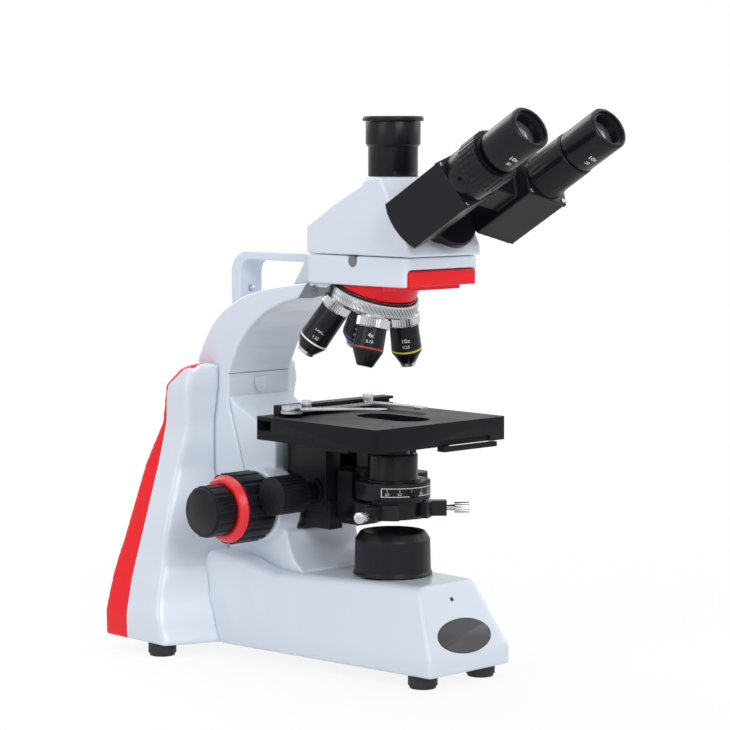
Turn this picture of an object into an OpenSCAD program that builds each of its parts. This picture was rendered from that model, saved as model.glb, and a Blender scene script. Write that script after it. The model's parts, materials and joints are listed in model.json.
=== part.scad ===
/* [Overall] */
// Height of the rubber feet
foot_h = 9; // [6:1:14]
// Diameter of the rubber feet
foot_d = 20; // [14:1:26]
// Play between pieces that are bolted together
seat_gap = 0.05; // [0.02:0.01:0.2]
// Running play between a shaft and its bore, on the radius
shaft_play = 0.06; // [0.03:0.01:0.1]
// Play between pieces that move past each other
slide_gap = 0.4; // [0.3:0.05:0.8]

/* [Base] */
// Height of the base's top face at the lamp
base_top = 67; // [60:1:75]
// Half width of the base's nose at the bottom
nose_half = 38.5; // [34:0.5:44]
// Half width of the base's nose at the top
nose_top_half = 27.6; // [22:0.5:32]
// Distance from the optical axis to the base's front edge
nose_reach = 74.6; // [70:0.5:82]
// How far the sloping front face leans back
nose_lean = 23.6; // [16:0.5:30]
// Height of the upright lip under the sloping faces
lip_h = 12.5; // [8:0.5:18]
// Half width of the base's top where it meets the rear pillar
base_rear_half = 58; // [50:1:64]
// Half width of the base's underside where it meets the rear pillar
base_low_rear = 58; // [52:1:62]
// Thickness of the base's cover plate underneath
bottom_plate_t = 2; // [1.5:0.5:3]

/* [Lamp] */
// Outer diameter of the lamp collar at its foot
lamp_d = 55; // [50:1:60]
// Height of the lamp collar
lamp_h = 29.5; // [24:0.5:34]
// Diameter of the opening in the lamp collar
lamp_bore = 36; // [30:1:40]
// Diameter of the field lens
field_lens_d = 35.4; // [30:0.2:35.4]

/* [Pillar and arm] */
// Distance from the optical axis to the pillar's rear face at the foot
pillar_rear = 200; // [195:1:205]
// Half width of the pillar at the foot
pillar_half = 95; // [88:1:97]
// Height of the pillar's top
pillar_top = 205; // [198:1:212]
// Half width of the arm
arm_half = 30; // [26:1:34]
// Half width of the column under the arm
column_half = 30; // [26:1:34]
// Height of the seam between the arm and the front cover
seam_z = 198; // [192:1:202]
// Half width of the arm's head
head_block_half = 35; // [32:1:38]
// Height of the arm's head, up to its flat top
head_block_top = 287; // [284:1:290]
// Thickness of the arm's head
head_block_h = 20; // [16:1:24]
// Width of the carrying handle
handle_w = 21.5; // [16:0.5:28]
// Thickness of the carrying handle's top bar
handle_t = 6; // [5:0.5:8]

/* [Focus drive] */
// Distance from the optical axis back to the focus shaft
focus_y = 93; // [90:0.5:96]
// Height of the focus shaft
focus_z = 109; // [106:0.5:112]
// Diameter of the coarse focus knob
coarse_d = 50; // [44:1:54]
// Diameter of the fine focus knob
fine_d = 36; // [30:1:40]
// Distance from the middle of the stand to the outer face of the fine knob
knob_reach = 94; // [90:0.5:96]
// Pitch radius of the focus pinion
pinion_r = 8; // [7:0.5:9]
// Number of teeth on the focus pinion
pinion_teeth = 16; // [12:1:20]

/* [Stage] */
// Height of the stage's top face
stage_top = 175; // [172:0.5:178]
// Half width of the stage
stage_half = 62.5; // [56:0.5:68]
// Distance from the optical axis to the stage's front edge
stage_front = 48; // [44:1:52]
// Distance from the optical axis to the stage's rear edge
stage_rear = 72; // [70:1:76]
// Depth of the stage's skirt
stage_h = 16; // [14:0.5:18]
// Thickness of the stage's top
stage_t = 4.5; // [3.5:0.5:6]
// Travel of the stage from front to back, each way
stage_travel = 15; // [10:1:18]
// Half width of the stage bracket
bracket_half = 22; // [18:0.5:24]

/* [Condenser] */
// Diameter of the condenser's iris ring
iris_d = 52; // [46:1:56]
// Diameter of the condenser's upper barrel
condenser_d = 34.5; // [30:0.5:38]
// Height of the iris ring's lower face
iris_z = 120; // [116:1:124]
// Thickness of the iris ring
iris_h = 12; // [9:0.5:14]
// Diameter of the condenser focus knob
condenser_knob_d = 27; // [22:1:30]

/* [Nosepiece] */
// Tilt of the nosepiece axis
turret_tilt = 20; // [18:1:22]
// Radius of the circle on which the objectives sit
turret_pitch_r = 22; // [20:0.5:24]
// Outer radius of the knurled nosepiece ring
turret_r = 30.5; // [29:0.5:33]
// Height of the working objective's shoulder
shoulder_z = 242.5; // [240:0.5:246]
// Turn of the nosepiece away from its click stop
turret_turn = 52; // [0:1:90]
// Diameter of the objectives' knurled collars
collar_d = 23; // [20:0.5:24]

/* [Viewing head] */
// Height of the head housing's flat top
head_top = 340; // [334:1:346]
// Slope of the eyepiece tubes above the horizontal
view_angle = 30; // [25:1:35]
// Distance from the hinge axis to each eyepiece axis
swing_r = 39.5; // [38:0.5:42]
// How far the eyepiece arms are swung down at their widest setting
swing_rest = 18; // [15:1:22]
// Diameter of the eyepieces
eyepiece_d = 29.5; // [27:0.5:31]
// Length of each tube with its eyepiece, past the end plate
tube_reach = 65; // [58:1:70]
// Inner diameter of the photo tube
port_bore = 23.2; // [23.2:0.1:25]
// Diameter of the photo tube's upper sleeve
sleeve_d = 37.5; // [34:0.5:40]
// Height of the dust cap's top
port_top = 381; // [376:1:386]

/* [Hidden] */
$fn = 64;
eps = 0.01;
view_dir_y = -cos(view_angle);
view_dir_z = sin(view_angle);
hinge_end_y = -154.4;
hinge_end_z = 383.6;
eyepiece_lip_y = hinge_end_y - swing_r * sin(swing_rest) * sin(view_angle);
eyepiece_rim = 1.2;
front_y = eyepiece_lip_y - (eyepiece_d / 2 - eyepiece_rim) * sin(view_angle);
middle_y = (pillar_rear + front_y) / 2;
shaft_r = 3.4;
sleeve_r = 5;
collar_boss_r = 25.8;
collar_boss_x = 44;
lens_front = 8;
turret_c = cos(turret_tilt);
turret_s = sin(turret_tilt);
turret_y = turret_pitch_r * turret_c;
turret_z = shoulder_z + turret_pitch_r * turret_s;

function arc(cx, cy, r, a0, a1, n = 8) =
  [for (i = [0:n]) let (a = a0 + (a1 - a0) * i / n) [cx + r * cos(a), cy + r * sin(a)]];

function rounded(w, d, r) = concat(
  arc(w / 2 - r, d / 2 - r, r, 0, 90),
  arc(-w / 2 + r, d / 2 - r, r, 90, 180),
  arc(-w / 2 + r, -d / 2 + r, r, 180, 270),
  arc(w / 2 - r, -d / 2 + r, r, 270, 360));

// Extrudes a side outline, drawn as (y, z), across the width
module across(w) {
  translate([-w / 2, 0, 0]) rotate([90, 0, 90]) linear_extrude(w) children();
}

// Cylinder lying along X from x0 to x1
module bar_x(x0, x1, r, y, z) {
  translate([x0, y, z]) rotate([0, 90, 0]) cylinder(r = r, h = x1 - x0);
}

// Round grip with shallow flutes along its side
module fluted(r, h, count, depth, flute_r) {
  difference() {
    cylinder(r = r, h = h);
    for (i = [0:count - 1])
      rotate([0, 0, 360 * i / count])
        translate([r + flute_r - depth, 0, -1]) cylinder(r = flute_r, h = h + 2, $fn = 24);
  }
}

module fluted_x(x0, x1, r, y, z, count, depth, flute_r) {
  translate([x0, y, z]) rotate([0, 90, 0]) fluted(r, x1 - x0, count, depth, flute_r);
}

// Base: cross-sections along its length, cut by the side outline
base_end = 134;
base_meet = 118;
base_stations = [-nose_reach - 2, -51, 0, 45, 75, 100, base_end];
base_half_low = [[-nose_reach, nose_half], [base_meet, base_low_rear]];
base_half_high = [[-nose_reach, nose_top_half - 2], [-51, nose_top_half], [0, nose_top_half + 6.4],
  [40, nose_top_half + 10.4], [75, nose_top_half + 17.4], [base_end, base_rear_half - 3]];
base_height = [[-51, base_top], [0, base_top - 1], [45, base_top - 2], [75, base_top - 2.5],
  [100, base_top + 4], [base_end, base_top + 6.5]];

function base_section(y) =
  let (low = lookup(y, base_half_low), high = lookup(y, base_half_high), top = lookup(y, base_height))
  concat([[-low, foot_h], [low, foot_h], [low, foot_h + lip_h]],
    arc(high - 6, top - 6, 6, 15, 90, 5), arc(-high + 6, top - 6, 6, 90, 165, 5),
    [[-low, foot_h + lip_h]]);

slice_t = 0.01;

module base_slice(y) {
  translate([0, y + slice_t, 0]) rotate([90, 0, 0]) linear_extrude(slice_t) polygon(base_section(y));
}

module base_body() {
  intersection() {
    across(2 * pillar_half)
      polygon([[-nose_reach, foot_h], [base_end, foot_h], [base_end, base_top + 20],
        [-nose_reach + nose_lean, base_top + 20], [-nose_reach + nose_lean, base_top],
        [-nose_reach, foot_h + lip_h]]);
    union()
      for (i = [0:len(base_stations) - 2])
        hull() {
          base_slice(base_stations[i]);
          base_slice(base_stations[i + 1]);
        }
  }
}

plate_w = 60;
plate_l = 144;
plate_mid = 12;

module lamp_pocket() {
  translate([0, 0, foot_h + bottom_plate_t]) cylinder(d = lamp_bore + 6, h = base_top);
}

module base_housing() color("white") {
  difference() {
    base_body();
    translate([0, plate_mid, foot_h - 1])
      linear_extrude(bottom_plate_t + 1 + seat_gap) polygon(rounded(plate_w, plate_l, 10));
    lamp_pocket();
    translate([0, 0, base_top - 4]) cylinder(d = lamp_d - 6, h = 20);
    for (i = [0:4])
      translate([-16, 33 + 4.4 * i, base_top - 5]) cube([32, 2, 8]);
    column_foot_solid(seat_gap);
    column_body(seat_gap);
    pillar_shape(-seat_gap);
    translate([base_side_x(dial_y, dial_z), dial_y, dial_z]) rotate([0, 90, 0]) {
      translate([0, 0, -dial_stub_l]) cylinder(r = dial_stub_r + shaft_play, h = 30);
      cylinder(r = dial_r + slide_gap, h = 30);
    }
  }
}

module base_plate() color("dimgray") {
  difference() {
    translate([0, plate_mid, foot_h])
      linear_extrude(bottom_plate_t) polygon(rounded(plate_w - 0.4, plate_l - 0.4, 10));
    for (i = [0:5])
      translate([-20, 10 + 9 * i, foot_h - 1]) cube([40, 3, bottom_plate_t + 2]);
  }
}

foot_spots = [[28, -57], [-28, -57], [84, 148], [-84, 148]];

module feet() color("black") {
  for (p = foot_spots)
    translate([p[0], p[1], 0]) {
      cylinder(d = foot_d - 2, h = 2);
      translate([0, 0, 1.9]) cylinder(d = foot_d, h = foot_h - 1.9 - seat_gap);
    }
}

module lamp_collar() color("black") {
  translate([0, 0, base_top + seat_gap])
    rotate_extrude()
      polygon(concat(
        [[lamp_bore / 2, 0], [lamp_d / 2, 0], [lamp_d / 2, 1.2], [lamp_d / 2 - 1, 2.4]],
        [[lamp_d / 2 - 1.6, lamp_h - 5], [lamp_d / 2 - 5, lamp_h], [lamp_d / 2 - 7, lamp_h]],
        [[lamp_d / 2 - 8, lamp_h - 3], [lamp_bore / 2, lamp_h - 6]]));
}

module field_lens() color("lightcyan") {
  translate([0, 0, base_top + lamp_h - 16])
    rotate_extrude()
      polygon(concat([[0, 0], [field_lens_d / 2, 0], [field_lens_d / 2, 3]],
        arc(0, 3 - 26, sqrt(field_lens_d * field_lens_d / 4 + 26 * 26), acos(field_lens_d / 2 / sqrt(field_lens_d * field_lens_d / 4 + 26 * 26)), 90, 8)));
}

module led_module() color("silver") {
  translate([0, 0, foot_h + bottom_plate_t + 0.3]) {
    cylinder(d = 30, h = 10);
    for (i = [0:3]) translate([0, 0, 12 + 5 * i]) cylinder(d = 34, h = 2.5);
    translate([0, 0, 9.9]) cylinder(d = 18, h = base_top - foot_h - 20);
    translate([0, 0, 29]) cylinder(d = lamp_bore + 6 - 0.2, h = 3);
  }
}

// Rear pillar: rear, front and side outlines crossed, with a front face that
// slants back on both sides
front_slant = 0.4;

function pillar_half_outline() = [
  [pillar_half - 0.5, foot_h], [pillar_half, foot_h + 19], [pillar_half - 7, 53], [72, 94],
  [58, 131], [50.5, 160], [54.5, 189], [51, pillar_top - 4], [45, pillar_top]];

function pillar_front_outline() = [
  [95, foot_h + 0.01], [98.7, 17], [102, 28], [107, 40], [110, 53], [112.8, 63], [122, 78], [128, 94],
  [138.7, 130], [138.4, 160], [133.6, 189], [134, pillar_top + 1]];

function pillar_rear_outline() = [
  [pillar_rear - 43, pillar_top], [pillar_rear - 35, pillar_top - 2], [pillar_rear - 21.3, 190],
  [pillar_rear - 10.5, 158], [pillar_rear - 1.5, 131], [pillar_rear, foot_h + 19]];

module pillar_shape(inset = 0) {
  low = foot_h - (inset < 0 ? 1 : 0);
  side = [for (p = pillar_half_outline()) [p[0] - inset, p[1] == foot_h ? low : p[1] - inset * 0.6]];
  turn = atan(front_slant);
  intersection() {
    translate([0, pillar_rear + 10, 0]) rotate([90, 0, 0])
      linear_extrude(150)
        polygon(concat(side, [for (i = [len(side) - 1:-1:0]) [-side[i][0], side[i][1]]]));
    across(2 * pillar_half + 10)
      polygon(concat([[80, pillar_top], [80, low], [pillar_rear, low]],
        [for (i = [5:-1:0]) pillar_rear_outline()[i]]));
    intersection_for(s = [-1, 1])
      rotate([0, 0, s * turn])
        across(400)
          polygon(concat([[95 * cos(turn) + min(inset, 0), low]],
            [for (p = pillar_front_outline()) [p[0] * cos(turn) + min(inset, 0), p[1]]],
            [[300, pillar_top + 1], [300, low]]));
  }
}

// Room for the root of the arm, where it leaves the top of the pillar
module arm_root() {
  across(2 * arm_half + 2 * seat_gap)
    polygon([[130, 195], [164, 195], [172.2, 204.9], [172.2, 230], [130, 230]]);
}

// Region of the coloured band in the side view, cut square through the pillar
module band_region(grow = 0) {
  seam = pillar_rear - grow;
  across(2 * pillar_half + 20)
    polygon([
      [seam - 25, -10], [seam - 25, foot_h + 20], [seam - 21, 76], [seam - 17, 130],
      [seam - 17, 158], [seam - 21.3, 181], [seam - 24.5, 189], [seam - 38, 201],
      [seam - 46, 202.3], [seam - 46, pillar_top + 20],
      [pillar_rear + 20, pillar_top + 20], [pillar_rear + 20, -10]]);
}

module rear_pillar() color("white") {
  difference() {
    pillar_shape();
    band_region(seat_gap);
    arm_column(seat_gap);
    column_body(seat_gap);
    column_foot_solid(seat_gap);
    arm_root();
    bar_x(-collar_boss_x, collar_boss_x, collar_boss_r + 1, focus_y, focus_z);
  }
}

module rear_core() {
  pillar_shape(13);
}

module rear_trim() color("red") {
  difference() {
    intersection() {
      pillar_shape();
      band_region();
    }
    rear_core();
    arm_root();
  }
}

inlet_x = 40;
inlet_z = 36;

module rear_panel() color("white") {
  difference() {
    intersection() {
      pillar_shape(13 + seat_gap);
      band_region();
      translate([0, -0.8, 0]) pillar_shape();
    }
    translate([inlet_x, pillar_rear - 16, inlet_z]) rotate([-90, 0, 0]) cylinder(d = 12, h = 30);
    translate([-inlet_x - 10, pillar_rear - 16, inlet_z - 7]) cube([20, 30, 14]);
  }
}

module power_inlet() color("black") {
  translate([inlet_x, pillar_rear - 15.9, inlet_z]) rotate([-90, 0, 0])
    difference() {
      cylinder(d = 12 - 2 * seat_gap, h = 14.5);
      translate([0, 0, 4]) cylinder(d = 8, h = 12);
      translate([0, 0, -1]) cylinder(d = 2.5, h = 5.5);
    }
  translate([inlet_x, pillar_rear - 15.9, inlet_z]) rotate([-90, 0, 0]) cylinder(d = 2.4, h = 12);
}

module power_switch() color("black") {
  translate([-inlet_x, pillar_rear - 9, inlet_z]) rotate([0, 90, 0])
    translate([0, 0, -9.4])
      linear_extrude(18.8)
        polygon(concat(arc(0, -8, 15, 67.7, 90, 4), [[-5.7, 7], [-5.7, -5], [5.7, -5]]));
}

dial_y = 40;
dial_z = 40;
dial_r = 9;
dial_stub_r = 2.5;
dial_stub_l = 6;

module brightness_dial() color("black") {
  translate([base_side_x(dial_y, dial_z) + 0.5, dial_y, dial_z]) rotate([0, 90, 0]) {
    fluted(dial_r, 6, 16, 0.6, 1.4);
    translate([0, 0, -dial_stub_l]) cylinder(r = dial_stub_r, h = dial_stub_l + 1);
  }
}

// Half width of the base's side wall at a given place
function base_side_x(y, z) =
  let (low = lookup(y, base_half_low), high = lookup(y, base_half_high), top = lookup(y, base_height),
    u = (z - foot_h - lip_h) / (top - 5 - foot_h - lip_h))
  low + (high - low) * u;

// Arm and column
groove_lean = 0.345;
groove_top_y = 140;
foot_top_z = 92;
foot_half = 34;
guide_half = 15;
guide_y = 88;
lock_r = 3.55;
lock_y = 4;

function arm_outer() = [[172, 205], [166, 217], [157, 231], [144, 243], [123, 254], [99, 260.5],
  [76, 264], [50, head_block_top - head_block_h]];
function arm_inner() = [[30, head_block_top - head_block_h], [34, 257], [62, 255.5], [79, 251.5],
  [99, 243.5], [116, 231.5], [128, 217], [135, 203], [137, seam_z]];

column_front = 87;
column_rear = 163;

// Stem of the arm inside the rear pillar
module arm_column(grow = 0) {
  translate([-arm_half - grow, 137 - grow, base_top + 4])
    cube([2 * arm_half + 2 * grow, column_rear - 137 + 2 * grow, seam_z - base_top]);
}

// Column in the side view, with the concave lower end of the arm's C at its top
function column_side() = [
  [column_rear, base_top + 4], [column_rear, seam_z], [137, seam_z], [140, 185], [129, 176],
  [111, 168], [108.5, 166], [98, 162], [column_front, 152], [column_front, base_top + 4]];

module column_body(grow = 0) {
  across(2 * column_half + 2 * grow) polygon(column_side());
}

function groove_at(z) = groove_top_y - (seam_z - 12 - z) * groove_lean;

module behind_groove(gap = 0) {
  across(120)
    polygon([[groove_at(0) + gap, 0], [groove_at(250) + gap, 250], [300, 250], [300, 0]]);
}

// The part of the column behind the groove, which wraps the stem of the arm
module column_wrap(grow = 0) {
  difference() {
    intersection() {
      column_body(grow);
      behind_groove(0.5 - grow);
    }
    translate([0, 0, foot_top_z - 40 - grow]) linear_extrude(40)
      polygon([[-60, 60], [60, 60], [60, 200], [-60, 200]]);
  }
}

module arm() color("white") {
  difference() {
    union() {
      across(2 * arm_half) polygon(concat(arm_outer(), arm_inner(), [[137, 201], [168, 201]]));
      arm_column();
      column_wrap();
      translate([0, 1.5, head_block_top - head_block_h])
        linear_extrude(head_block_h)
          polygon(rounded(2 * head_block_half, 2 * 49.5, 5));
    }
    translate([0, 0, head_block_top - 5]) cylinder(r = 20.3, h = 20);
    cylinder(r = 14, h = 300);
    translate([-head_block_half + 3, -60, head_block_top - head_block_h - 1])
      cube([2 * head_block_half - 6, 40, 12.6]);
    translate([0, 0, head_block_top - head_block_h - 1]) cylinder(r = 27.6, h = 4);
    bar_x(-60, -20.9, lock_r + 0.05, lock_y, head_block_top - lock_r);
    translate([-60, lock_y - lock_r - 0.05, head_block_top - lock_r])
      cube([39.1, 2 * lock_r + 0.1, 10]);
    bar_x(-60, 60, sleeve_r + 1, focus_y, focus_z);
    translate([-20, focus_y - 5, focus_z - 20]) cube([40, 50, 40]);
    turret_sweep();
    neck_screw_bores(neck_screw_d / 2);
  }
}

neck_screw_d = 5;
neck_screw_y = 46;
neck_screw_z = 262;

// Holes for the cap screws in the sides of the arm's neck
module neck_screw_bores(r) {
  for (s = [0, 1])
    mirror([s, 0, 0]) bar_x(arm_half - 8, arm_half + 2, r, neck_screw_y, neck_screw_z);
}

// Room that the nosepiece and its objectives take as they turn
module turret_sweep() {
  turret_frame()
    rotate_extrude()
      polygon([[0, 24], [6, 24], [6, 16], [turret_r + 1, 16], [turret_r + 1, 10], [34.5, 5], [37, -2.6], [45, -28],
        [45, -42], [0, -42]]);
}

module front_cover() color("white") {
  difference() {
    union() {
      difference() {
        column_body();
        behind_groove();
      }
      bar_x(-collar_boss_x, collar_boss_x, collar_boss_r, focus_y, focus_z);
      translate([-guide_half, guide_y, foot_top_z]) cube([2 * guide_half, 24, 66]);
      column_foot_solid();
    }
    arm_column(seat_gap);
    column_wrap(seat_gap);
    bar_x(-60, 60, sleeve_r + shaft_play, focus_y, focus_z);
    bar_x(-8, 8, pinion_r + 2, focus_y, focus_z);
    translate([-8, guide_y - 20, focus_z - 12]) cube([16, 25, 24]);
    translate([-8, guide_y - 8, rack_low - 5]) cube([16, 8.05, 20]);
    for (s = [-1, 1])
      translate([s * 11 - 2.4, guide_y - 1, foot_top_z + 0.5]) cube([4.8, 7, 100]);
    bracket_sweep();
  }
}

// Room in front of the guide for the stage bracket at every height
module bracket_sweep() {
  translate([-bracket_half - slide_gap, 30, foot_top_z])
    cube([2 * (bracket_half + slide_gap), guide_y - 30, 110]);
}

module column_foot_solid(grow = 0) {
  difference() {
    across(2 * foot_half + 2 * grow)
      polygon(concat(
        [[base_end, base_top - 5 - grow], [base_end, foot_top_z], [71, foot_top_z]],
        arc(41 - grow, 92 + grow, 30, 0, -62, 8),
        [[54 - grow, base_top - 5 - grow]]));
    translate([-60, base_end + grow - 0.05, 0]) cube([120, 40, 200]);
  }
}

// Carrying handle: a bent strap with a raking front post
module handle() color("white") {
  top = head_block_top - 1.7;
  difference() {
    across(handle_w)
      polygon(concat(
        [[51.2, top]], arc(140, top - 16, 16, 90, 0), [[156, 232], [146, 241]],
        arc(136, top - handle_t - 10, 10, 0, 90), [[78, top - handle_t], [90, 262.6]],
        [[51.2, head_block_top - head_block_h + 0.4]]));
    handle_seat();
    translate([0, 160, 258]) rotate([90, 0, 0]) cylinder(d = 4, h = 30);
  }
}

module handle_seat() {
  across(100) polygon(concat(
    [for (p = arm_outer()) [p[0] + 0.05, p[1] + 0.08]], [[50, 200], [172, 200]]));
}

module arm_screws() color("dimgray") {
  translate([0, 146.4, 258]) rotate([90, 0, 0]) cylinder(d = 3.9, h = 2.4);
  translate([0, 157.4, 258]) rotate([90, 0, 0]) cylinder(d = 3.9, h = 11.2);
  for (s = [0, 1])
    mirror([s, 0, 0])
      bar_x(arm_half - 7.9, arm_half - 1, neck_screw_d / 2 - seat_gap, neck_screw_y, neck_screw_z);
}

module head_lock_screw() color("gray") {
  bar_x(-head_block_half - 0.2, -21, lock_r, lock_y, head_block_top - lock_r);
}

// Gear and rack
function gear_outline(n, r) = [for (i = [0:n - 1], p = [
  [-0.30, -1.1], [-0.12, 0.6], [0.12, 0.6], [0.30, -1.1]])
  let (a = 360 * (i + p[0]) / n) [(r + p[1]) * cos(a), (r + p[1]) * sin(a)]];

// Rack outline in (along, outwards), with a gap at the middle
function rack_outline(n, pitch, body) = concat(
  [[-n * pitch, -body]],
  [for (i = [-n:n - 1], p = [[0.20, -1.1], [0.38, 0.6], [0.62, 0.6], [0.80, -1.1]])
    [(i + p[0]) * pitch, p[1]]],
  [[n * pitch, -body]]);

rack_pitch = 2 * PI * pinion_r / pinion_teeth;

// Focus drive
module coarse_shaft() color("silver") {
  difference() {
    union() {
      bar_x(-knob_reach + 24, knob_reach - 24, sleeve_r, focus_y, focus_z);
      translate([-6, focus_y, focus_z]) rotate([0, 90, 0]) rotate([0, 0, 180])
        rotate([0, 0, -90])
          linear_extrude(12) polygon(gear_outline(pinion_teeth, pinion_r));
    }
    bar_x(-100, 100, shaft_r + shaft_play, focus_y, focus_z);
  }
}

coarse_in = collar_boss_x + 1;
coarse_out = knob_reach - 18;

module coarse_knobs() color("black") {
  for (s = [0, 1])
    mirror([s, 0, 0])
      difference() {
        union() {
          fluted_x(-coarse_out + 6, -coarse_in - 2, coarse_d / 2, focus_y, focus_z, 18, 0.9, 2.6);
          bar_x(-coarse_in - 2.5, -coarse_in, coarse_d / 2 - 1.5, focus_y, focus_z);
        }
        bar_x(-200, 0, sleeve_r + 0.02, focus_y, focus_z);
        bar_x(-coarse_out - 1, -coarse_in - 14, 14, focus_y, focus_z);
      }
}

module tension_ring() color("red") {
  for (s = [0, 1])
    mirror([s, 0, 0])
      translate([-coarse_out, focus_y, focus_z]) rotate([0, 90, 0])
        rotate_extrude()
          polygon([[fine_d / 2 + 0.6, 0], [fine_d / 2 + 2.5, 0], [coarse_d / 2 - 1.5, 4.6],
            [coarse_d / 2 - 1.2, 5.9], [14.2, 5.9], [14.2, 1.5]]);
}

module fine_shaft() color("silver") {
  bar_x(-knob_reach + 4, knob_reach - 4, shaft_r, focus_y, focus_z);
}

module fine_knobs() color("black") {
  for (s = [0, 1])
    mirror([s, 0, 0])
      difference() {
        union() {
          fluted_x(-knob_reach + 2, -coarse_out - 0.5, fine_d / 2, focus_y, focus_z, 16, 0.7, 2);
          bar_x(-knob_reach, -knob_reach + 2.1, fine_d / 2 - 1.5, focus_y, focus_z);
          bar_x(-coarse_out - 1, -coarse_out + 5, 13.4, focus_y, focus_z);
        }
        bar_x(-knob_reach + 4 - 0.02, 0, shaft_r + 0.02, focus_y, focus_z);
      }
}

// Stage bracket and racks
bracket_rear = 83;
bracket_front = 44;
bracket_top = stage_top - stage_h - slide_gap;
knob_y = 54.6;
knob_z = 121;
knob_out = -63.2;
knob_l = 24;
condenser_pinion_r = 7;

module stage_bracket() color("black") {
  difference() {
    union() {
      translate([-bracket_half, bracket_front, 107])
        cube([2 * bracket_half, bracket_rear - bracket_front, bracket_top - 107]);
      translate([-bracket_half + 2, bracket_front - 2, foot_top_z + 2.5])
        cube([2 * bracket_half - 4, 27, 20]);
      translate([-bracket_half, 22, bracket_top - 9]) cube([2 * bracket_half, 30, 9]);
      for (s = [-1, 1])
        translate([s * 11 - 2, bracket_rear - 1, 118]) cube([4, 11, bracket_top - 118]);
      bar_x(-bracket_half - 4, -bracket_half + 1, 9.5, knob_y, knob_z);
    }
    translate([-8, 0, 90]) cube([16, knob_y + 10, bracket_top - 9 - 90]);
    translate([-8, 0, 90]) cube([16, 49, bracket_top - 90 - 9]);
    bar_x(-60, 0, 3 + shaft_play, knob_y, knob_z);
    for (s = [-1, 1])
      translate([s * 11, 47, bracket_top - 12]) cylinder(d = 4, h = 20);
  }
}

rack_low = 80;

module focus_rack() color("silver") {
  translate([-5, bracket_rear + seat_gap, 0])
    difference() {
      translate([0, focus_y - pinion_r - bracket_rear - seat_gap, focus_z])
        rotate([90, 0, 90])
          linear_extrude(10)
            polygon([for (p = rack_outline(15, rack_pitch, 1.9)) [p[1], p[0]]]);
      translate([-1, -10, 0]) cube([12, 40, rack_low]);
    }
}

carriage_half = 40.2;
carriage_front = 25;
carriage_rear = 50;
drive_x = carriage_half + 1.1 + pinion_r;
drive_y = 33;
carriage_z = bracket_top + seat_gap;
carriage_top = stage_top - stage_t - slide_gap;

module stage_carriage() color("gray") {
  difference() {
    union() {
      translate([-carriage_half, -carriage_front, carriage_z])
        cube([2 * carriage_half, carriage_front + carriage_rear, carriage_top - carriage_z]);
      translate([drive_x - pinion_r, drive_y, carriage_z])
        linear_extrude(6)
          polygon([for (p = rack_outline(5, rack_pitch, 1.5)) [p[1], p[0]]]);
    }
    cylinder(r = 22, h = 300);
    for (s = [-1, 1])
      translate([s * 11, 47, 100]) cylinder(d = 4, h = 100);
  }
}

module stage_plate() color("black") {
  difference() {
    translate([0, (stage_rear - stage_front) / 2, stage_top - stage_h])
      linear_extrude(stage_h)
        polygon(rounded(2 * stage_half, stage_rear + stage_front, 3));
    translate([-stage_half + 3, -stage_front + 3, stage_top - stage_h - 1])
      cube([2 * stage_half - 6, stage_rear + stage_front - 6, stage_h - stage_t + 1]);
    translate([0, 0, stage_top - 20]) linear_extrude(30)
      polygon(concat(arc(0, 16, 14, 0, 180, 16), arc(0, -16, 14, 180, 360, 16)));
    translate([drive_x, drive_y, 100]) cylinder(r = 3 + shaft_play, h = 72.5);
    translate([-4, -stage_front - 1, stage_top - stage_h - 1]) cube([50, 3, 5]);
    translate([-stage_half - 1, stage_rear - 16, stage_top - 9.5]) cube([10, 13, 7]);
  }
}

rail_y = 60;
rail_z = stage_top + seat_gap;

module stage_rail() color("black") {
  difference() {
    translate([-46, rail_y, rail_z]) cube([106, stage_rear - rail_y - 0.6, 6.4]);
    translate([-60, rail_y - 1, rail_z + 1.8]) cube([140, 5, 2.6]);
  }
  translate([10, -stage_front + 0.4, stage_top - stage_h - 4.2]) cube([44, 4, 3.4]);
  translate([2, -stage_front + 0.4, stage_top - stage_h - 4.2]) cube([6, 7, 4.15]);
  translate([7.9, -stage_front + 0.4, stage_top - stage_h - 4.2]) cube([2.2, 4, 3.4]);
}

holder_z = rail_z + 1.8 + slide_gap;
finger_x = -46;
finger_y = rail_y - 7.4;

module slide_holder() color("silver") {
  difference() {
    union() {
      translate([-44, rail_y - 9, holder_z]) cube([84, 9, 1.8]);
      translate([-40, rail_y - 9, holder_z]) cube([76, 12.4, 1.8]);
      translate([0, 0, holder_z])
        linear_extrude(1.8)
          polygon([[30, 51.5], [40, 51.5], [41, 12], [38, 4], [31, 4], [31, 9], [34.5, 14]]);
      translate([finger_x, finger_y, holder_z]) cylinder(d = 15, h = 1.8);
      translate([finger_x, finger_y, holder_z]) cylinder(d = 4, h = 5.4);
    }
    for (x = [-30, 30])
      translate([x, rail_y - 4.5, 100]) cylinder(d = 3, h = 100);
  }
}

module holder_screws() color("silver") {
  for (x = [-30, 30])
    translate([x, rail_y - 4.5, holder_z]) {
      cylinder(d = 2.9, h = 5);
      translate([0, 0, 1.85]) fluted(3.6, 6, 14, 0.25, 0.6);
    }
}

finger_z = holder_z + 1.8 + 0.2;

module spring_finger() color("silver") {
  translate([finger_x, finger_y, finger_z])
    difference() {
      union() {
        cylinder(d = 14, h = 3.4);
        linear_extrude(1.5)
          polygon(concat([[2, -6], [5, 3]], [[34, -29], [44, -41], [46, -47], [41, -45], [30, -33]]));
      }
      translate([0, 0, -1]) cylinder(d = 4 + 2 * shaft_play, h = 10);
    }
}

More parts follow.
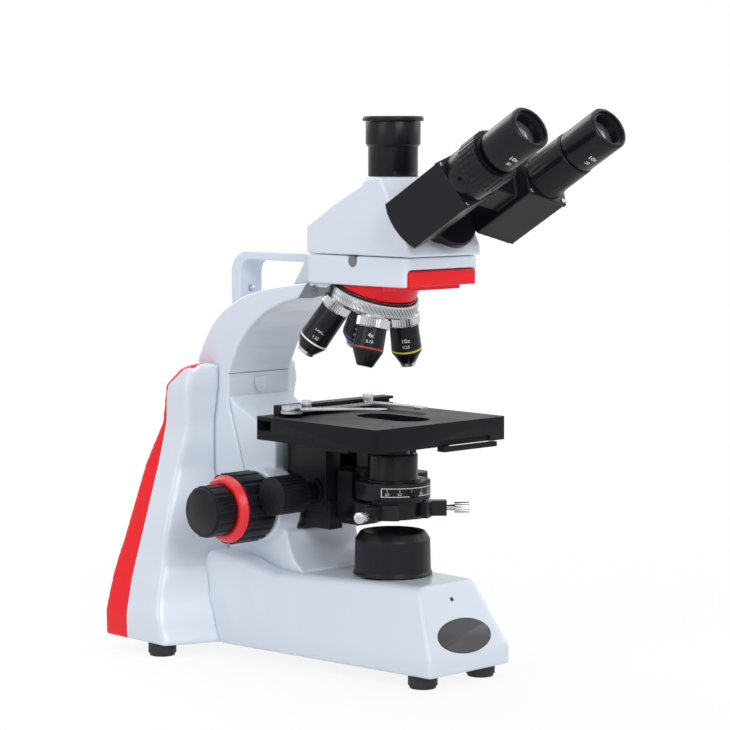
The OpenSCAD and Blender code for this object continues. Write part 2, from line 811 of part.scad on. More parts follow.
module stage_drive_knob() color("black") {
  translate([drive_x, drive_y, 0])
    difference() {
      union() {
        translate([0, 0, 113]) fluted(13, 17, 20, 0.6, 1.3);
        translate([0, 0, 129]) cylinder(r = 5, h = stage_top - stage_h - 129);
        translate([0, 0, carriage_z]) linear_extrude(6)
          rotate([0, 0, 180]) polygon(gear_outline(pinion_teeth, pinion_r));
      }
      translate([0, 0, 90]) cylinder(r = 2 + shaft_play, h = 100);
    }
}

module slide_drive_knob() color("black") {
  translate([drive_x, drive_y, 0]) {
    translate([0, 0, 97]) fluted(11, 15.6, 18, 0.6, 1.2);
    translate([0, 0, 112]) cylinder(r = 2, h = 55);
    translate([0, 0, carriage_z + 6.4]) cylinder(r = 5, h = 3.4);
  }
}

// Condenser
carrier_z = 107;

module condenser_carrier() color("black") {
  difference() {
    union() {
      translate([-13, 27, carrier_z - 5]) cube([26, bracket_front - 27 - slide_gap - 2, 34]);
      translate([-13, 20, carrier_z]) cube([26, 10, 10.5]);
      translate([-6, 40, carrier_z - 5]) cube([12, knob_y - condenser_pinion_r - 40 - 1.5, 34]);
      translate([-5, knob_y - condenser_pinion_r, knob_z])
        rotate([90, 0, 90]) linear_extrude(10)
          polygon([for (p = rack_outline(5, rack_pitch, 1.6)) [p[1], p[0]]]);
      translate([0, 0, carrier_z]) difference() {
        cylinder(r = 27, h = 10.5);
        rotate([0, 0, 260]) translate([0, 0, -1])
          linear_extrude(20) polygon([[0, 0], [60, -28], [60, 28]]);
      }
      for (a = [200, 320])
        rotate([0, 0, a]) translate([24, -4, carrier_z]) cube([13, 8, 10.5]);
    }
    translate([0, 0, carrier_z - 10]) cylinder(r = 22, h = 60);
    translate([0, 0, carrier_z + 11]) cylinder(r = 27.4, h = 60);
    for (a = [200, 320])
      rotate([0, 0, a]) translate([20, 0, carrier_z + 5.2]) rotate([0, 90, 0])
        cylinder(d = 4, h = 30);
  }
}

module centring_screws() color("silver") {
  for (a = [200, 320])
    rotate([0, 0, a]) translate([0, 0, carrier_z + 5.2]) rotate([0, 90, 0]) {
      translate([0, 0, 20.9]) cylinder(d = 4 - 2 * shaft_play, h = 20);
      translate([0, 0, 40]) cylinder(d = 4.4, h = 3);
      translate([0, 0, 42.9]) fluted(3.9, 10, 16, 0.25, 0.6);
    }
}

module condenser_barrel() color("black") {
  difference() {
    union() {
      translate([0, 0, carrier_z - 0.5]) cylinder(r = 20.8, h = 13);
      translate([0, 0, 119]) cylinder(r = 19, h = 14);
      translate([0, 0, iris_z + iris_h + slide_gap])
        cylinder(d = condenser_d, h = 150 - iris_z - iris_h - slide_gap);
      translate([0, 0, 149.9]) cylinder(r = 11.5, h = 5);
    }
    translate([0, 0, 100]) cylinder(r = 8.5, h = 100);
    translate([0, 0, 150]) cylinder(r = 9.6, h = 3.9);
    translate([0, 0, 100]) cylinder(r = 15, h = 12);
  }
}

module condenser_lens() color("lightcyan") {
  translate([0, 0, 150]) {
    rotate_extrude()
      polygon(concat([[0, 0.05], [9.5, 0.05]], arc(0, 3.2 - 14, 16.92, 55.8, 90, 6)));
  }
}

module iris_ring() color("black") {
  translate([0, 0, iris_z])
    difference() {
      union() {
        cylinder(d = iris_d, h = iris_h);
        rotate([0, 0, 255]) translate([iris_d / 2 - 2, -1.5, 3]) cube([9, 3, 3]);
      }
      translate([0, 0, -1]) cylinder(r = 19 + shaft_play, h = iris_h + 2);
    }
}

module condenser_knob() color("black") {
  translate([knob_out, knob_y, knob_z]) rotate([0, 90, 0]) {
    fluted(condenser_knob_d / 2, knob_l, 30, 0.5, 0.9);
    translate([0, 0, knob_l - 0.1]) cylinder(r = 7, h = -knob_out - 27.6 - knob_l);
    translate([0, 0, knob_l]) cylinder(r = 3, h = -knob_out + 6 - knob_l);
    translate([0, 0, -knob_out - 5]) rotate([0, 0, -90]) rotate([0, 0, 180])
      linear_extrude(10) polygon(gear_outline(14, condenser_pinion_r));
  }
}

// Nosepiece
module turret_frame() {
  translate([0, turret_y, turret_z]) rotate([turret_tilt, 0, 0]) children();
}

module at_objective(k) {
  turret_frame() rotate([0, 0, turret_turn - 90 * k])
    translate([0, -turret_pitch_r, 0]) rotate([-turret_tilt, 0, 0]) children();
}

module nosepiece_bracket() color("red") {
  block_low = head_block_top - head_block_h;
  difference() {
    union() {
      intersection() {
        turret_frame() translate([0, 0, 14]) cylinder(r1 = 28, r2 = 31, h = 40);
        translate([-60, -60, 0]) cube([120, 120, block_low - seat_gap]);
      }
      translate([-head_block_half + 3.3, -47.6, block_low + 0.6])
        cube([2 * head_block_half - 6.6, 26, 10.5]);
      translate([-head_block_half + 4, -34, block_low - 3]) cube([2 * head_block_half - 8, 12.3, 4]);
      translate([0, 0, block_low - 1]) cylinder(r = 27.4, h = 3.8);
    }
    translate([0, 0, 200]) cylinder(r = 10, h = 100);
    turret_frame() cylinder(r = 5 + shaft_play, h = 24);
    turret_frame() cylinder(r = turret_r + 1, h = 13.95);
  }
}

module turret() color("silver") {
  difference() {
    turret_frame() {
      rotate_extrude()
        polygon([[0, -7.5], [9, -6.2], [turret_pitch_r, 0], [turret_r - 1, 3.2], [turret_r, 4.2],
          [turret_r, 11.6], [turret_r - 0.8, 12.4], [turret_r - 2, 12.4], [turret_r - 2, 13.6],
          [0, 13.6]]);
      cylinder(r = 5, h = 22);
    }
    for (k = [0:3])
      at_objective(k) {
        translate([0, 0, -1]) cylinder(r = 10.02, h = 6);
        cylinder(r = 8, h = 30);
        translate([0, 0, -8]) cylinder(d = collar_d + 0.4, h = 8);
      }
    turret_frame()
      for (k = [0:3])
        rotate([0, 0, turret_turn - 90 * k + 45])
          translate([turret_r, 0, 8]) sphere(r = 1.2, $fn = 24);
  }
}

module objective_collars() color("silver") {
  for (k = [0:3])
    at_objective(k)
      difference() {
        union() {
          translate([0, 0, -7]) fluted(collar_d / 2, 7 - 0.02, 40, 0.3, 0.55);
          translate([0, 0, -1]) cylinder(r = 10, h = 5.5);
        }
        translate([0, 0, -10]) cylinder(r = 7.6, h = 30);
      }
}

// Objective: its barrel hangs from the collar
module objective(k, long, band, nose, tip) {
  r = collar_d / 2 - 0.9;
  at_objective(k)
    difference() {
      rotate_extrude()
        polygon([[0, -7.05], [r - 0.6, -7.05], [r, -band + 1], [r, -band - 1.5],
          [nose + 0.4, -long + tip], [nose, -long + tip], [nose - 0.3, -long], [0, -long]]);
      translate([0, 0, -long - 1]) cylinder(r = 3, h = 2.5);
      translate([0, 0, -long + 1.4]) cylinder(r = 2.2, h = 100);
      translate([0, 0, -band]) cylinder(r = 7, h = 40);
    }
}

module objective_10x() color("black") { objective(0, 38, 26, 5.6, 2.5); }
module objective_4x() color("black") { objective(1, 34, 21.5, 5.2, 0.5); }
module objective_100x() color("black") { objective(2, 44.6, 34, 6.4, 2.5); }
module objective_40x() color("black") { objective(3, 44, 33, 5.8, 2.5); }

objective_lengths = [38, 34, 44.6, 44];

module objective_lenses() color("lightcyan") {
  for (k = [0:3])
    at_objective(k)
      translate([0, 0, -objective_lengths[k] + 0.4]) cylinder(r = 2.95, h = 1.05);
}

// Viewing head
plate_y = hinge_end_y - tube_reach * view_dir_y;
plate_z = hinge_end_z - tube_reach * view_dir_z;

module view_frame() {
  translate([0, plate_y, plate_z]) rotate([90 - view_angle, 0, 0]) children();
}

module left_frame() {
  view_frame() rotate([0, 0, swing_rest]) translate([-swing_r, 0, 0]) children();
}

module right_frame() {
  view_frame() rotate([0, 0, -swing_rest]) translate([swing_r, 0, 0]) children();
}

head_seat = head_block_top + slide_gap;

function head_side() = concat(
  [[-51, head_seat], [51, head_seat], [51, 300]], arc(41, 300, 10, 0, 42, 5),
  [[22, 322], [-6, 335.5]], arc(-18, 310, 30, 66, 92, 4),
  [[-23, head_top], [-49.5, 294]]);

module head_housing() color("white") {
  difference() {
    union() {
      intersection() {
        across(2 * head_block_half) polygon(head_side());
        translate([0, 0, 280]) linear_extrude(80)
          polygon(rounded(2 * head_block_half, 103, 5));
      }
      translate([0, 0, head_block_top - 4]) cylinder(r = 20, h = 6);
    }
    translate([0, 0, 270]) cylinder(r = 12, h = 100);
    translate([-14.3, -14.3, 299]) cube([28.6, 28.6, 30]);
    translate([0, 0, head_top - 4]) cylinder(r = 15.1, h = 10);
    view_frame() translate([0, 0, -78]) cylinder(r = 12, h = 20);
  }
}

module prism() color("lightcyan") {
  translate([0, 0, 299.2])
    intersection() {
      translate([-14, -14, 0]) cube([28, 28, 28]);
      across(40) polygon([[-14, 0], [14, 0], [14, 12], [-2, 28], [-14, 28]]);
    }
}

module hinge_hub() color("black") {
  view_frame()
    difference() {
      union() {
        translate([0, 0, -76]) cylinder(r = 11.9, h = 8);
        translate([0, 0, -69.9]) cylinder(r = 24, h = 7.4);
        translate([0, 0, -63]) cylinder(r = 3.9, h = 57);
        translate([0, 0, -6.6]) cylinder(r = 9.5, h = 3);
      }
      translate([0, 0, -80]) cylinder(r = 2.4, h = 76);
    }
}

arm_rear = 56;
arm_half_h = 17.3;
arm_inner_x = 23.5;

// Housing of one eyepiece arm, in the frame of its tube
module eye_arm(side, hub_low, hub_high) {
  to_hub = side * swing_r;
  difference() {
    union() {
      translate([-arm_half_w(), 0, 0]) rotate([90, 0, 90])
        linear_extrude(2 * arm_half_w())
          polygon(concat(
            [[arm_half_h, 0], [-arm_half_h, 0], [-arm_half_h, -arm_rear + 2]],
            arc(0, -arm_rear + 30, 34, 238, 302, 8),
            [[arm_half_h, -arm_rear + 2]]));
      translate([min(0, to_hub), -13, -hub_low]) cube([swing_r, 26, hub_low - hub_high]);
      translate([to_hub, 0, -hub_low]) cylinder(r = 13, h = hub_low - hub_high);
    }
    translate([to_hub, 0, -100]) cylinder(r = 3.9 + shaft_play, h = 120);
    translate([0, 0, -40]) cylinder(r = 11.6, h = 60);
  }
}

function arm_half_w() = swing_r - arm_inner_x;

module left_arm() color("black") {
  left_frame() eye_arm(1, 55, 34);
}

module right_arm() color("black") {
  right_frame() eye_arm(-1, 33.6, 12);
}

module left_tube() color("black") {
  left_frame()
    difference() {
      rotate_extrude()
        polygon([[11.65, seat_gap], [arm_half_w() + 0.6, seat_gap], [arm_half_w() + 1.2, 3], [17.4, 12],
          [17.4, 14], [14.9, 14], [14.9, 30], [11.65, 30]]);
      rotate([0, 0, 180]) translate([13, 0, 9]) rotate([0, 90, 0]) cylinder(r = 1.3, h = 10);
    }
}

module right_tube() color("black") {
  right_frame()
    rotate_extrude()
      polygon([[11.65, seat_gap], [arm_half_w() + 0.6, seat_gap], [arm_half_w() + 0.6, 3], [15.4, 5],
        [15.4, 31], [14.4, 32.5], [11.65, 32.5]]);
}

module dioptre_ring() color("black") {
  left_frame()
    translate([0, 0, 14 + 0.3])
      difference() {
        fluted(18.2, 15.4, 30, 0.6, 0.8);
        translate([0, 0, -1]) cylinder(r = 14.9 + shaft_play, h = 20);
      }
}

// Eyepiece: a stub in the tube and a wide sleeve with a recessed lens
module eyepiece_shape() {
  rotate_extrude()
    polygon([[9.6, 8], [11.6, 8], [11.6, 33], [eyepiece_d / 2 - 1, 33], [eyepiece_d / 2, 34],
      [eyepiece_d / 2, tube_reach - eyepiece_rim], [eyepiece_d / 2 - eyepiece_rim, tube_reach],
      [eyepiece_d / 2 - 2.6, tube_reach], [eyepiece_d / 2 - 3.4, tube_reach - lens_front + 4],
      [10.4, tube_reach - lens_front + 3], [10.4, tube_reach - lens_front - 4],
      [9.6, tube_reach - lens_front - 5]]);
}

module eye_lens_shape() {
  translate([0, 0, tube_reach - lens_front - 3.9])
    rotate_extrude()
      polygon(concat([[0, 0], [10.3, 0], [10.3, 2]], arc(0, 2 - 18, 20.74, 60.3, 90, 8)));
}

module left_eyepiece() color("black") { left_frame() eyepiece_shape(); }
module right_eyepiece() color("black") { right_frame() eyepiece_shape(); }
module left_eye_lens() color("lightcyan") { left_frame() eye_lens_shape(); }
module right_eye_lens() color("lightcyan") { right_frame() eye_lens_shape(); }

module photo_tube() color("black") {
  translate([0, 0, head_top])
    rotate_extrude()
      polygon([[port_bore / 2, -3.9], [15, -3.9], [15, seat_gap], [17, seat_gap], [17, 20],
        [sleeve_d / 2 - 0.6, 21.5], [sleeve_d / 2, 22], [sleeve_d / 2, port_top - head_top - 3.6],
        [14.1, port_top - head_top - 3.6], [14.1, port_top - head_top - 12],
        [port_bore / 2, port_top - head_top - 12]]);
}

module dust_cap() color("black") {
  translate([0, 0, port_top])
    rotate_extrude()
      polygon([[0, -2.2], [12.6, -2.2], [12.6, -11], [13.9, -11], [13.9, -3.4], [sleeve_d / 2 + 2, -3.4],
        [sleeve_d / 2 + 2, -1], [sleeve_d / 2 + 1, 0], [0, 0]]);
}

module place() {
  translate([0, -middle_y, 0]) children();
}

place() base_housing();
place() base_plate();
place() feet();
place() lamp_collar();
place() field_lens();
place() led_module();
place() rear_pillar();
place() rear_trim();
place() rear_panel();
place() power_inlet();
place() power_switch();
place() brightness_dial();
place() arm();
place() front_cover();
place() handle();
place() arm_screws();
place() head_lock_screw();
place() coarse_shaft();
place() coarse_knobs();
place() tension_ring();
place() fine_shaft();
place() fine_knobs();
place() stage_bracket();
place() focus_rack();
place() stage_carriage();
place() stage_plate();
place() stage_rail();
place() slide_holder();
place() holder_screws();
place() spring_finger();
place() stage_drive_knob();
place() slide_drive_knob();
place() condenser_carrier();
place() condenser_barrel();
place() condenser_lens();
place() iris_ring();
place() centring_screws();
place() condenser_knob();
place() nosepiece_bracket();
place() turret();
place() objective_collars();
place() objective_4x();
place() objective_10x();
place() objective_40x();
place() objective_100x();
place() objective_lenses();
place() head_housing();
place() prism();
place() photo_tube();
place() dust_cap();
place() hinge_hub();
place() left_arm();
place() right_arm();
place() left_tube();
place() right_tube();
place() dioptre_ring();
place() left_eyepiece();
place() right_eyepiece();
place() left_eye_lens();
place() right_eye_lens();
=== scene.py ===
import json
import math
import bpy
from mathutils import Matrix, Vector


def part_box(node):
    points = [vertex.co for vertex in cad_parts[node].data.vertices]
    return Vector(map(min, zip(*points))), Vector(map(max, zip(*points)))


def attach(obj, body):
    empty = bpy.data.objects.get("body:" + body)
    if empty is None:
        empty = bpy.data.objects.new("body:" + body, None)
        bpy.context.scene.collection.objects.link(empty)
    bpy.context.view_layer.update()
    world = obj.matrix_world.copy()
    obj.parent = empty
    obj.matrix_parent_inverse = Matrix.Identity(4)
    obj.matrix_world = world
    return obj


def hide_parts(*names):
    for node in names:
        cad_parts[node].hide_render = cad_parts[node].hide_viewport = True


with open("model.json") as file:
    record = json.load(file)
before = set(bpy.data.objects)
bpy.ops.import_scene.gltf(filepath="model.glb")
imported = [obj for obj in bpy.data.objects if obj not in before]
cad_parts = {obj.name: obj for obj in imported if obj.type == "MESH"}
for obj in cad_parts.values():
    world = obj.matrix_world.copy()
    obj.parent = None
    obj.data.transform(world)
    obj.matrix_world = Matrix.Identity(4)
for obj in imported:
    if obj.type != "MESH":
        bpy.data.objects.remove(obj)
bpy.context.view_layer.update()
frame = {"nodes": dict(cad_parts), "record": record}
bpy.ops.object.select_all(action="DESELECT")

MM = 0.001

# Places and sizes in millimetres, measured from the optical axis on the table.
# The lamp collar stands round that axis, and so gives the axis's place in the shared frame.
lamp_low, lamp_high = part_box("lamp_collar")
MIDDLE_Y = -(lamp_low[1] + lamp_high[1]) / 2 / MM
BASE_TOP = 67.0
PILLAR_REAR = 200.0
HEAD_TOP = 340.0
TURRET_TILT = 20.0
TURRET_PITCH_R = 22.0
TURRET_R = 30.5
TURRET_TURN = 52.0
SHOULDER_Z = 242.5
COLLAR_R = 11.5
VIEW_ANGLE = 30.0
SWING_R = 39.5
SWING_REST = 18.0
TUBE_REACH = 65.0
EYEPIECE_R = 14.75
HINGE_END_Y, HINGE_END_Z = -154.4, 383.6
IRIS_R, IRIS_Z = 26.0, 120.0


def at(x, y, z):
    """A place in millimetres from the optical axis on the table, as a point of the shared frame."""
    return Vector((x * MM, (y - MIDDLE_Y) * MM, z * MM))


def shift(x, y, z):
    return Matrix.Translation(Vector((x, y, z)) * MM)


def turn(degrees, axis):
    return Matrix.Rotation(math.radians(degrees), 4, axis)


# Own frames of the optical axis, the eyepieces' end plates, the two eyepieces and the nosepiece
WORLD = Matrix.Translation(at(0, 0, 0))
plate_y = HINGE_END_Y + TUBE_REACH * math.cos(math.radians(VIEW_ANGLE))
plate_z = HINGE_END_Z - TUBE_REACH * math.sin(math.radians(VIEW_ANGLE))
VIEW = WORLD @ shift(0, plate_y, plate_z) @ turn(90 - VIEW_ANGLE, "X")
LEFT = VIEW @ turn(SWING_REST, "Z") @ shift(-SWING_R, 0, 0)
RIGHT = VIEW @ turn(-SWING_REST, "Z") @ shift(SWING_R, 0, 0)
turret_y = TURRET_PITCH_R * math.cos(math.radians(TURRET_TILT))
turret_z = SHOULDER_Z + TURRET_PITCH_R * math.sin(math.radians(TURRET_TILT))
TURRET = WORLD @ shift(0, turret_y, turret_z) @ turn(TURRET_TILT, "X")


def objective_place(k):
    """The frame of the objective in seat k, with its axis along Z and its shoulder at nought."""
    return TURRET @ turn(TURRET_TURN - 90 * k, "Z") @ shift(0, -TURRET_PITCH_R, 0) @ turn(-TURRET_TILT, "X")


# Shader node groups

def new_group(name, inputs, outputs):
    group = bpy.data.node_groups.new(name, "ShaderNodeTree")
    for label, kind, value in inputs:
        socket = group.interface.new_socket(label, in_out="INPUT", socket_type=kind)
        if value is not None:
            socket.default_value = value
    for label, kind in outputs:
        group.interface.new_socket(label, in_out="OUTPUT", socket_type=kind)
    return group, group.nodes.new("NodeGroupInput"), group.nodes.new("NodeGroupOutput")


def map_range(nodes, from_min, from_max, to_min=0.0, to_max=1.0):
    node = nodes.new("ShaderNodeMapRange")
    for end, low, high in (("From", from_min, from_max), ("To", to_min, to_max)):
        node.inputs[end + " Min"].default_value = low
        node.inputs[end + " Max"].default_value = high
    return node


def arithmetic(nodes, links, operation, first, second, clamp=False):
    """A math node fed by two sockets; gives its result's socket."""
    node = nodes.new("ShaderNodeMath")
    node.operation = operation
    node.use_clamp = clamp
    links.new(first, node.inputs[0])
    links.new(second, node.inputs[1])
    return node.outputs["Value"]


def make_grain():
    """Fine unevenness: a roughness value that drifts and a height for bumps."""
    group, given, out = new_group(
        "surface_grain",
        [("Vector", "NodeSocketVector", None), ("Scale", "NodeSocketFloat", 900.0),
         ("Smoothest", "NodeSocketFloat", 0.3), ("Roughest", "NodeSocketFloat", 0.4)],
        [("Roughness", "NodeSocketFloat"), ("Height", "NodeSocketFloat")])
    fine = group.nodes.new("ShaderNodeTexNoise")
    fine.inputs["Detail"].default_value = 3.0
    broad = group.nodes.new("ShaderNodeTexNoise")
    broad.inputs["Scale"].default_value = 38.0
    broad.inputs["Detail"].default_value = 4.0
    spread = map_range(group.nodes, 0.3, 0.7)
    links = group.links
    links.new(given.outputs["Vector"], fine.inputs["Vector"])
    links.new(given.outputs["Vector"], broad.inputs["Vector"])
    links.new(given.outputs["Scale"], fine.inputs["Scale"])
    links.new(broad.outputs["Fac"], spread.inputs["Value"])
    links.new(given.outputs["Smoothest"], spread.inputs["To Min"])
    links.new(given.outputs["Roughest"], spread.inputs["To Max"])
    links.new(spread.outputs["Result"], out.inputs["Roughness"])
    links.new(fine.outputs["Fac"], out.inputs["Height"])
    return group


def make_wear_and_hollow_shade():
    """A paint's colour: rubbed lighter in patches on its edges, and darkened in its hollows by painted
    shade.
    """
    group, given, out = new_group(
        "worn_edges_and_hollow_shade",
        [("Vector", "NodeSocketVector", None), ("Paint", "NodeSocketColor", None),
         ("Rubbed", "NodeSocketColor", None), ("Amount", "NodeSocketFloat", 0.4),
         ("Hollow Shade", "NodeSocketFloat", 0.5)],
        [("Color", "NodeSocketColor")])
    nodes, links = group.nodes, group.links
    geometry = nodes.new("ShaderNodeNewGeometry")
    edge = map_range(nodes, 0.53, 0.64)
    hollow = map_range(nodes, 0.495, 0.42)
    patchy = nodes.new("ShaderNodeTexNoise")
    patchy.inputs["Scale"].default_value = 260.0
    rubbed = nodes.new("ShaderNodeMix")
    rubbed.data_type = "RGBA"
    # Painted shade: the hollows are multiplied towards a dark grey
    dark = nodes.new("ShaderNodeMix")
    dark.data_type = "RGBA"
    dark.blend_type = "MULTIPLY"
    dark.inputs["B"].default_value = (0.12, 0.12, 0.13, 1)
    links.new(given.outputs["Vector"], patchy.inputs["Vector"])
    links.new(geometry.outputs["Pointiness"], edge.inputs["Value"])
    links.new(geometry.outputs["Pointiness"], hollow.inputs["Value"])
    patches = arithmetic(nodes, links, "MULTIPLY", edge.outputs["Result"], patchy.outputs["Fac"])
    amount = arithmetic(nodes, links, "MULTIPLY", patches, given.outputs["Amount"])
    sunk = arithmetic(nodes, links, "MULTIPLY", hollow.outputs["Result"], given.outputs["Hollow Shade"])
    links.new(amount, rubbed.inputs["Factor"])
    links.new(given.outputs["Paint"], rubbed.inputs["A"])
    links.new(given.outputs["Rubbed"], rubbed.inputs["B"])
    links.new(sunk, dark.inputs["Factor"])
    links.new(rubbed.outputs["Result"], dark.inputs["A"])
    links.new(dark.outputs["Result"], out.inputs["Color"])
    return group


GRAIN = make_grain()
# The paint group rubs edges lighter and darkens hollows with painted shade
WEAR_AND_HOLLOW_SHADE = make_wear_and_hollow_shade()


def finish_material(name, paint, rubbed, smooth, rough, grain=900.0, bump=0.02, metallic=0.0, wear=0.35,
                    coat=0.0, streak=None, specular=0.5, hollow_shade=0.15):
    """A painted, moulded or machined finish on object coordinates.

    paint and rubbed are colours, smooth and rough the ends of its roughness, grain the scale of its bumps,
    streak stretches the grain along an axis, and hollow_shade sets how far painted shade darkens its
    hollows.
    """
    material = bpy.data.materials.new(name)
    material.use_nodes = True
    nodes, links = material.node_tree.nodes, material.node_tree.links
    shader = nodes["Principled BSDF"]
    shader.inputs["Metallic"].default_value = metallic
    shader.inputs["Specular IOR Level"].default_value = specular
    shader.inputs["Coat Weight"].default_value = coat
    shader.inputs["Coat Roughness"].default_value = 0.12
    place = nodes.new("ShaderNodeTexCoord")
    vector = place.outputs["Object"]
    if streak:
        mapping = nodes.new("ShaderNodeMapping")
        mapping.inputs["Scale"].default_value = streak
        links.new(vector, mapping.inputs["Vector"])
        vector = mapping.outputs["Vector"]
    grained = nodes.new("ShaderNodeGroup")
    grained.node_tree = GRAIN
    grained.inputs["Scale"].default_value = grain
    grained.inputs["Smoothest"].default_value = smooth
    grained.inputs["Roughest"].default_value = rough
    # This group node rubs the edges lighter and paints shade into the hollows
    worn = nodes.new("ShaderNodeGroup")
    worn.node_tree = WEAR_AND_HOLLOW_SHADE
    worn.inputs["Paint"].default_value = (*paint, 1)
    worn.inputs["Rubbed"].default_value = (*rubbed, 1)
    worn.inputs["Amount"].default_value = wear
    worn.inputs["Hollow Shade"].default_value = hollow_shade
    relief = nodes.new("ShaderNodeBump")
    relief.inputs["Strength"].default_value = bump
    relief.inputs["Distance"].default_value = 0.0005
    links.new(vector, grained.inputs["Vector"])
    links.new(place.outputs["Object"], worn.inputs["Vector"])
    links.new(grained.outputs["Roughness"], shader.inputs["Roughness"])
    links.new(grained.outputs["Height"], relief.inputs["Height"])
    links.new(relief.outputs["Normal"], shader.inputs["Normal"])
    links.new(worn.outputs["Color"], shader.inputs["Base Color"])
    return material


white_paint = finish_material("white_paint", (0.7, 0.755, 0.845), (0.8, 0.84, 0.9), 0.28, 0.3, bump=0.008,
                              coat=0.3, wear=0.12)
red_paint = finish_material("red_paint", (0.86, 0.01, 0.018), (0.9, 0.03, 0.035), 0.34, 0.38, bump=0.01,
                             specular=0.25)
red_plastic = finish_material("red_plastic", (0.72, 0.012, 0.018), (0.85, 0.05, 0.05), 0.3, 0.42, bump=0.04)
black_paint = finish_material("black_satin_paint", (0.007, 0.008, 0.012), (0.03, 0.033, 0.042), 0.3, 0.37,
                              bump=0.03, wear=0.4, specular=0.2)
stage_black = finish_material("stage_black_coating", (0.006, 0.007, 0.0095), (0.03, 0.032, 0.04), 0.36, 0.44,
                              grain=1500.0, bump=0.05, wear=0.5, specular=0.1)
tube_black = finish_material("anodised_black", (0.006, 0.007, 0.01), (0.05, 0.053, 0.065), 0.24, 0.31,
                             grain=1600.0, bump=0.02, wear=0.5, specular=0.2)
knob_black = finish_material("moulded_black", (0.007, 0.008, 0.0115), (0.03, 0.032, 0.04), 0.34, 0.42,
                             grain=1300.0, bump=0.04, wear=0.4, specular=0.2)
foot_rubber = finish_material("foot_rubber", (0.018, 0.018, 0.019), (0.05, 0.05, 0.05), 0.6, 0.8, bump=0.2)
# The chromes take the full painted shade in their hollows
chrome = finish_material("polished_chrome", (0.5, 0.51, 0.54), (0.8, 0.8, 0.83), 0.1, 0.18, bump=0.01,
                         metallic=1.0, wear=0.8, hollow_shade=1.0)
satin_chrome = finish_material("satin_chrome", (0.44, 0.45, 0.47), (0.75, 0.76, 0.78), 0.22, 0.34, bump=0.03,
                               metallic=1.0, wear=0.7, hollow_shade=1.0)
brushed_steel = finish_material("brushed_steel", (0.6, 0.61, 0.63), (0.8, 0.8, 0.82), 0.24, 0.38,
                                grain=700.0, bump=0.1, metallic=1.0, streak=(1, 1, 12))
brass = finish_material("rack_brass", (0.7, 0.5, 0.2), (0.85, 0.7, 0.4), 0.25, 0.4, metallic=1.0)
grey_sheet = finish_material("grey_sheet", (0.16, 0.165, 0.175), (0.3, 0.3, 0.31), 0.4, 0.5, bump=0.1)
# Painted shade for the recess in the neck behind the nosepiece
neck_recess_shade = finish_material("neck_recess_shade", (0.14, 0.155, 0.18), (0.25, 0.27, 0.3), 0.35, 0.42, bump=0.03)
bare_aluminium = finish_material("bare_aluminium", (0.7, 0.7, 0.72), (0.85, 0.85, 0.87), 0.3, 0.45,
                                 metallic=1.0)
dark_window = finish_material("dark_window", (0.06, 0.06, 0.068), (0.1, 0.1, 0.11), 0.38, 0.44, bump=0.01,
                              specular=0.3)
white_ink = finish_material("white_ink", (0.82, 0.82, 0.82), (0.82, 0.82, 0.82), 0.4, 0.5, wear=0.0)
# Near-black painted shade, for the dark inside holes, gaps and grooves
hole_shade_black = finish_material("hole_shade_black", (0.004, 0.004, 0.004), (0.004, 0.004, 0.004), 0.6, 0.8, wear=0.0)
ring_inks = {"white": white_ink}
for hue, ink in (("blue", (0.03, 0.16, 0.5)), ("red", (0.4, 0.03, 0.03)), ("yellow", (0.75, 0.55, 0.04))):
    ring_inks[hue] = finish_material(hue + "_ring_ink", ink, ink, 0.3, 0.4, wear=0.0)


def coated_lens_material(name, tint):
    """Dark coated glass: a smooth clear coat over a deep tint."""
    return finish_material(name, tint, tint, 0.03, 0.07, bump=0.0, wear=0.0, coat=1.0, specular=0.8)


# The eyepiece lenses' tint is lightened to paint part of their grey reflection; the clear coat gives the
# rest
eye_glass_painted_reflection = coated_lens_material("eye_lens_glass_painted_reflection", (0.1, 0.11, 0.125))
front_glass = coated_lens_material("front_lens_glass", (0.05, 0.06, 0.09))
field_glass = finish_material("field_lens_glass", (0.5, 0.55, 0.58), (0.6, 0.6, 0.62), 0.05, 0.1, bump=0.0,
                              coat=1.0, wear=0.0)


# Modelling helpers

# Points nearer than this are one point, in metres: in a CAD mesh, and where a turned ring closes
CAD_MERGE = 0.000004
RING_MERGE = 0.000001
# Faces that lean less than this from one another, in degrees, count as one flat face
FLAT = 0.6


def pick(piece):
    bpy.ops.object.select_all(action="DESELECT")
    piece.select_set(True)
    bpy.context.view_layer.objects.active = piece


def apply_modifier(piece, kind, **settings):
    pick(piece)
    modifier = piece.modifiers.new(kind.title(), kind)
    for key, value in settings.items():
        setattr(modifier, key, value)
    bpy.ops.object.modifier_apply(modifier=modifier.name)


def bake_place(piece):
    """Puts a piece's place, turn and scale into its mesh."""
    pick(piece)
    bpy.ops.object.transform_apply(location=True, rotation=True, scale=True)


def seat(piece, body, material):
    """Settles a finished piece: its place in its mesh, its finish, its body."""
    bake_place(piece)
    piece.data.materials.clear()
    piece.data.materials.append(material)
    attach(piece, body)
    return piece


def smooth(piece, angle):
    """Shades a piece smooth, save over edges sharper than the angle in degrees."""
    pick(piece)
    bpy.ops.object.shade_smooth_by_angle(angle=math.radians(angle))


def cad_copy(node, name):
    """A copy of a CAD node's mesh, with its triangles joined and its flat faces whole."""
    piece = bpy.data.objects.new(name, frame["nodes"][node].data.copy())
    bpy.context.scene.collection.objects.link(piece)
    pick(piece)
    bpy.ops.object.mode_set(mode="EDIT")
    bpy.ops.mesh.select_all(action="SELECT")
    bpy.ops.mesh.remove_doubles(threshold=CAD_MERGE)
    bpy.ops.mesh.dissolve_limited(angle_limit=math.radians(FLAT))
    bpy.ops.object.mode_set(mode="OBJECT")
    return piece


def body_of(node):
    """The body that the record gives a CAD node to."""
    for body, nodes in frame["record"]["behaviour"]["bodies"].items():
        if node in nodes:
            return body
    raise ValueError(node)


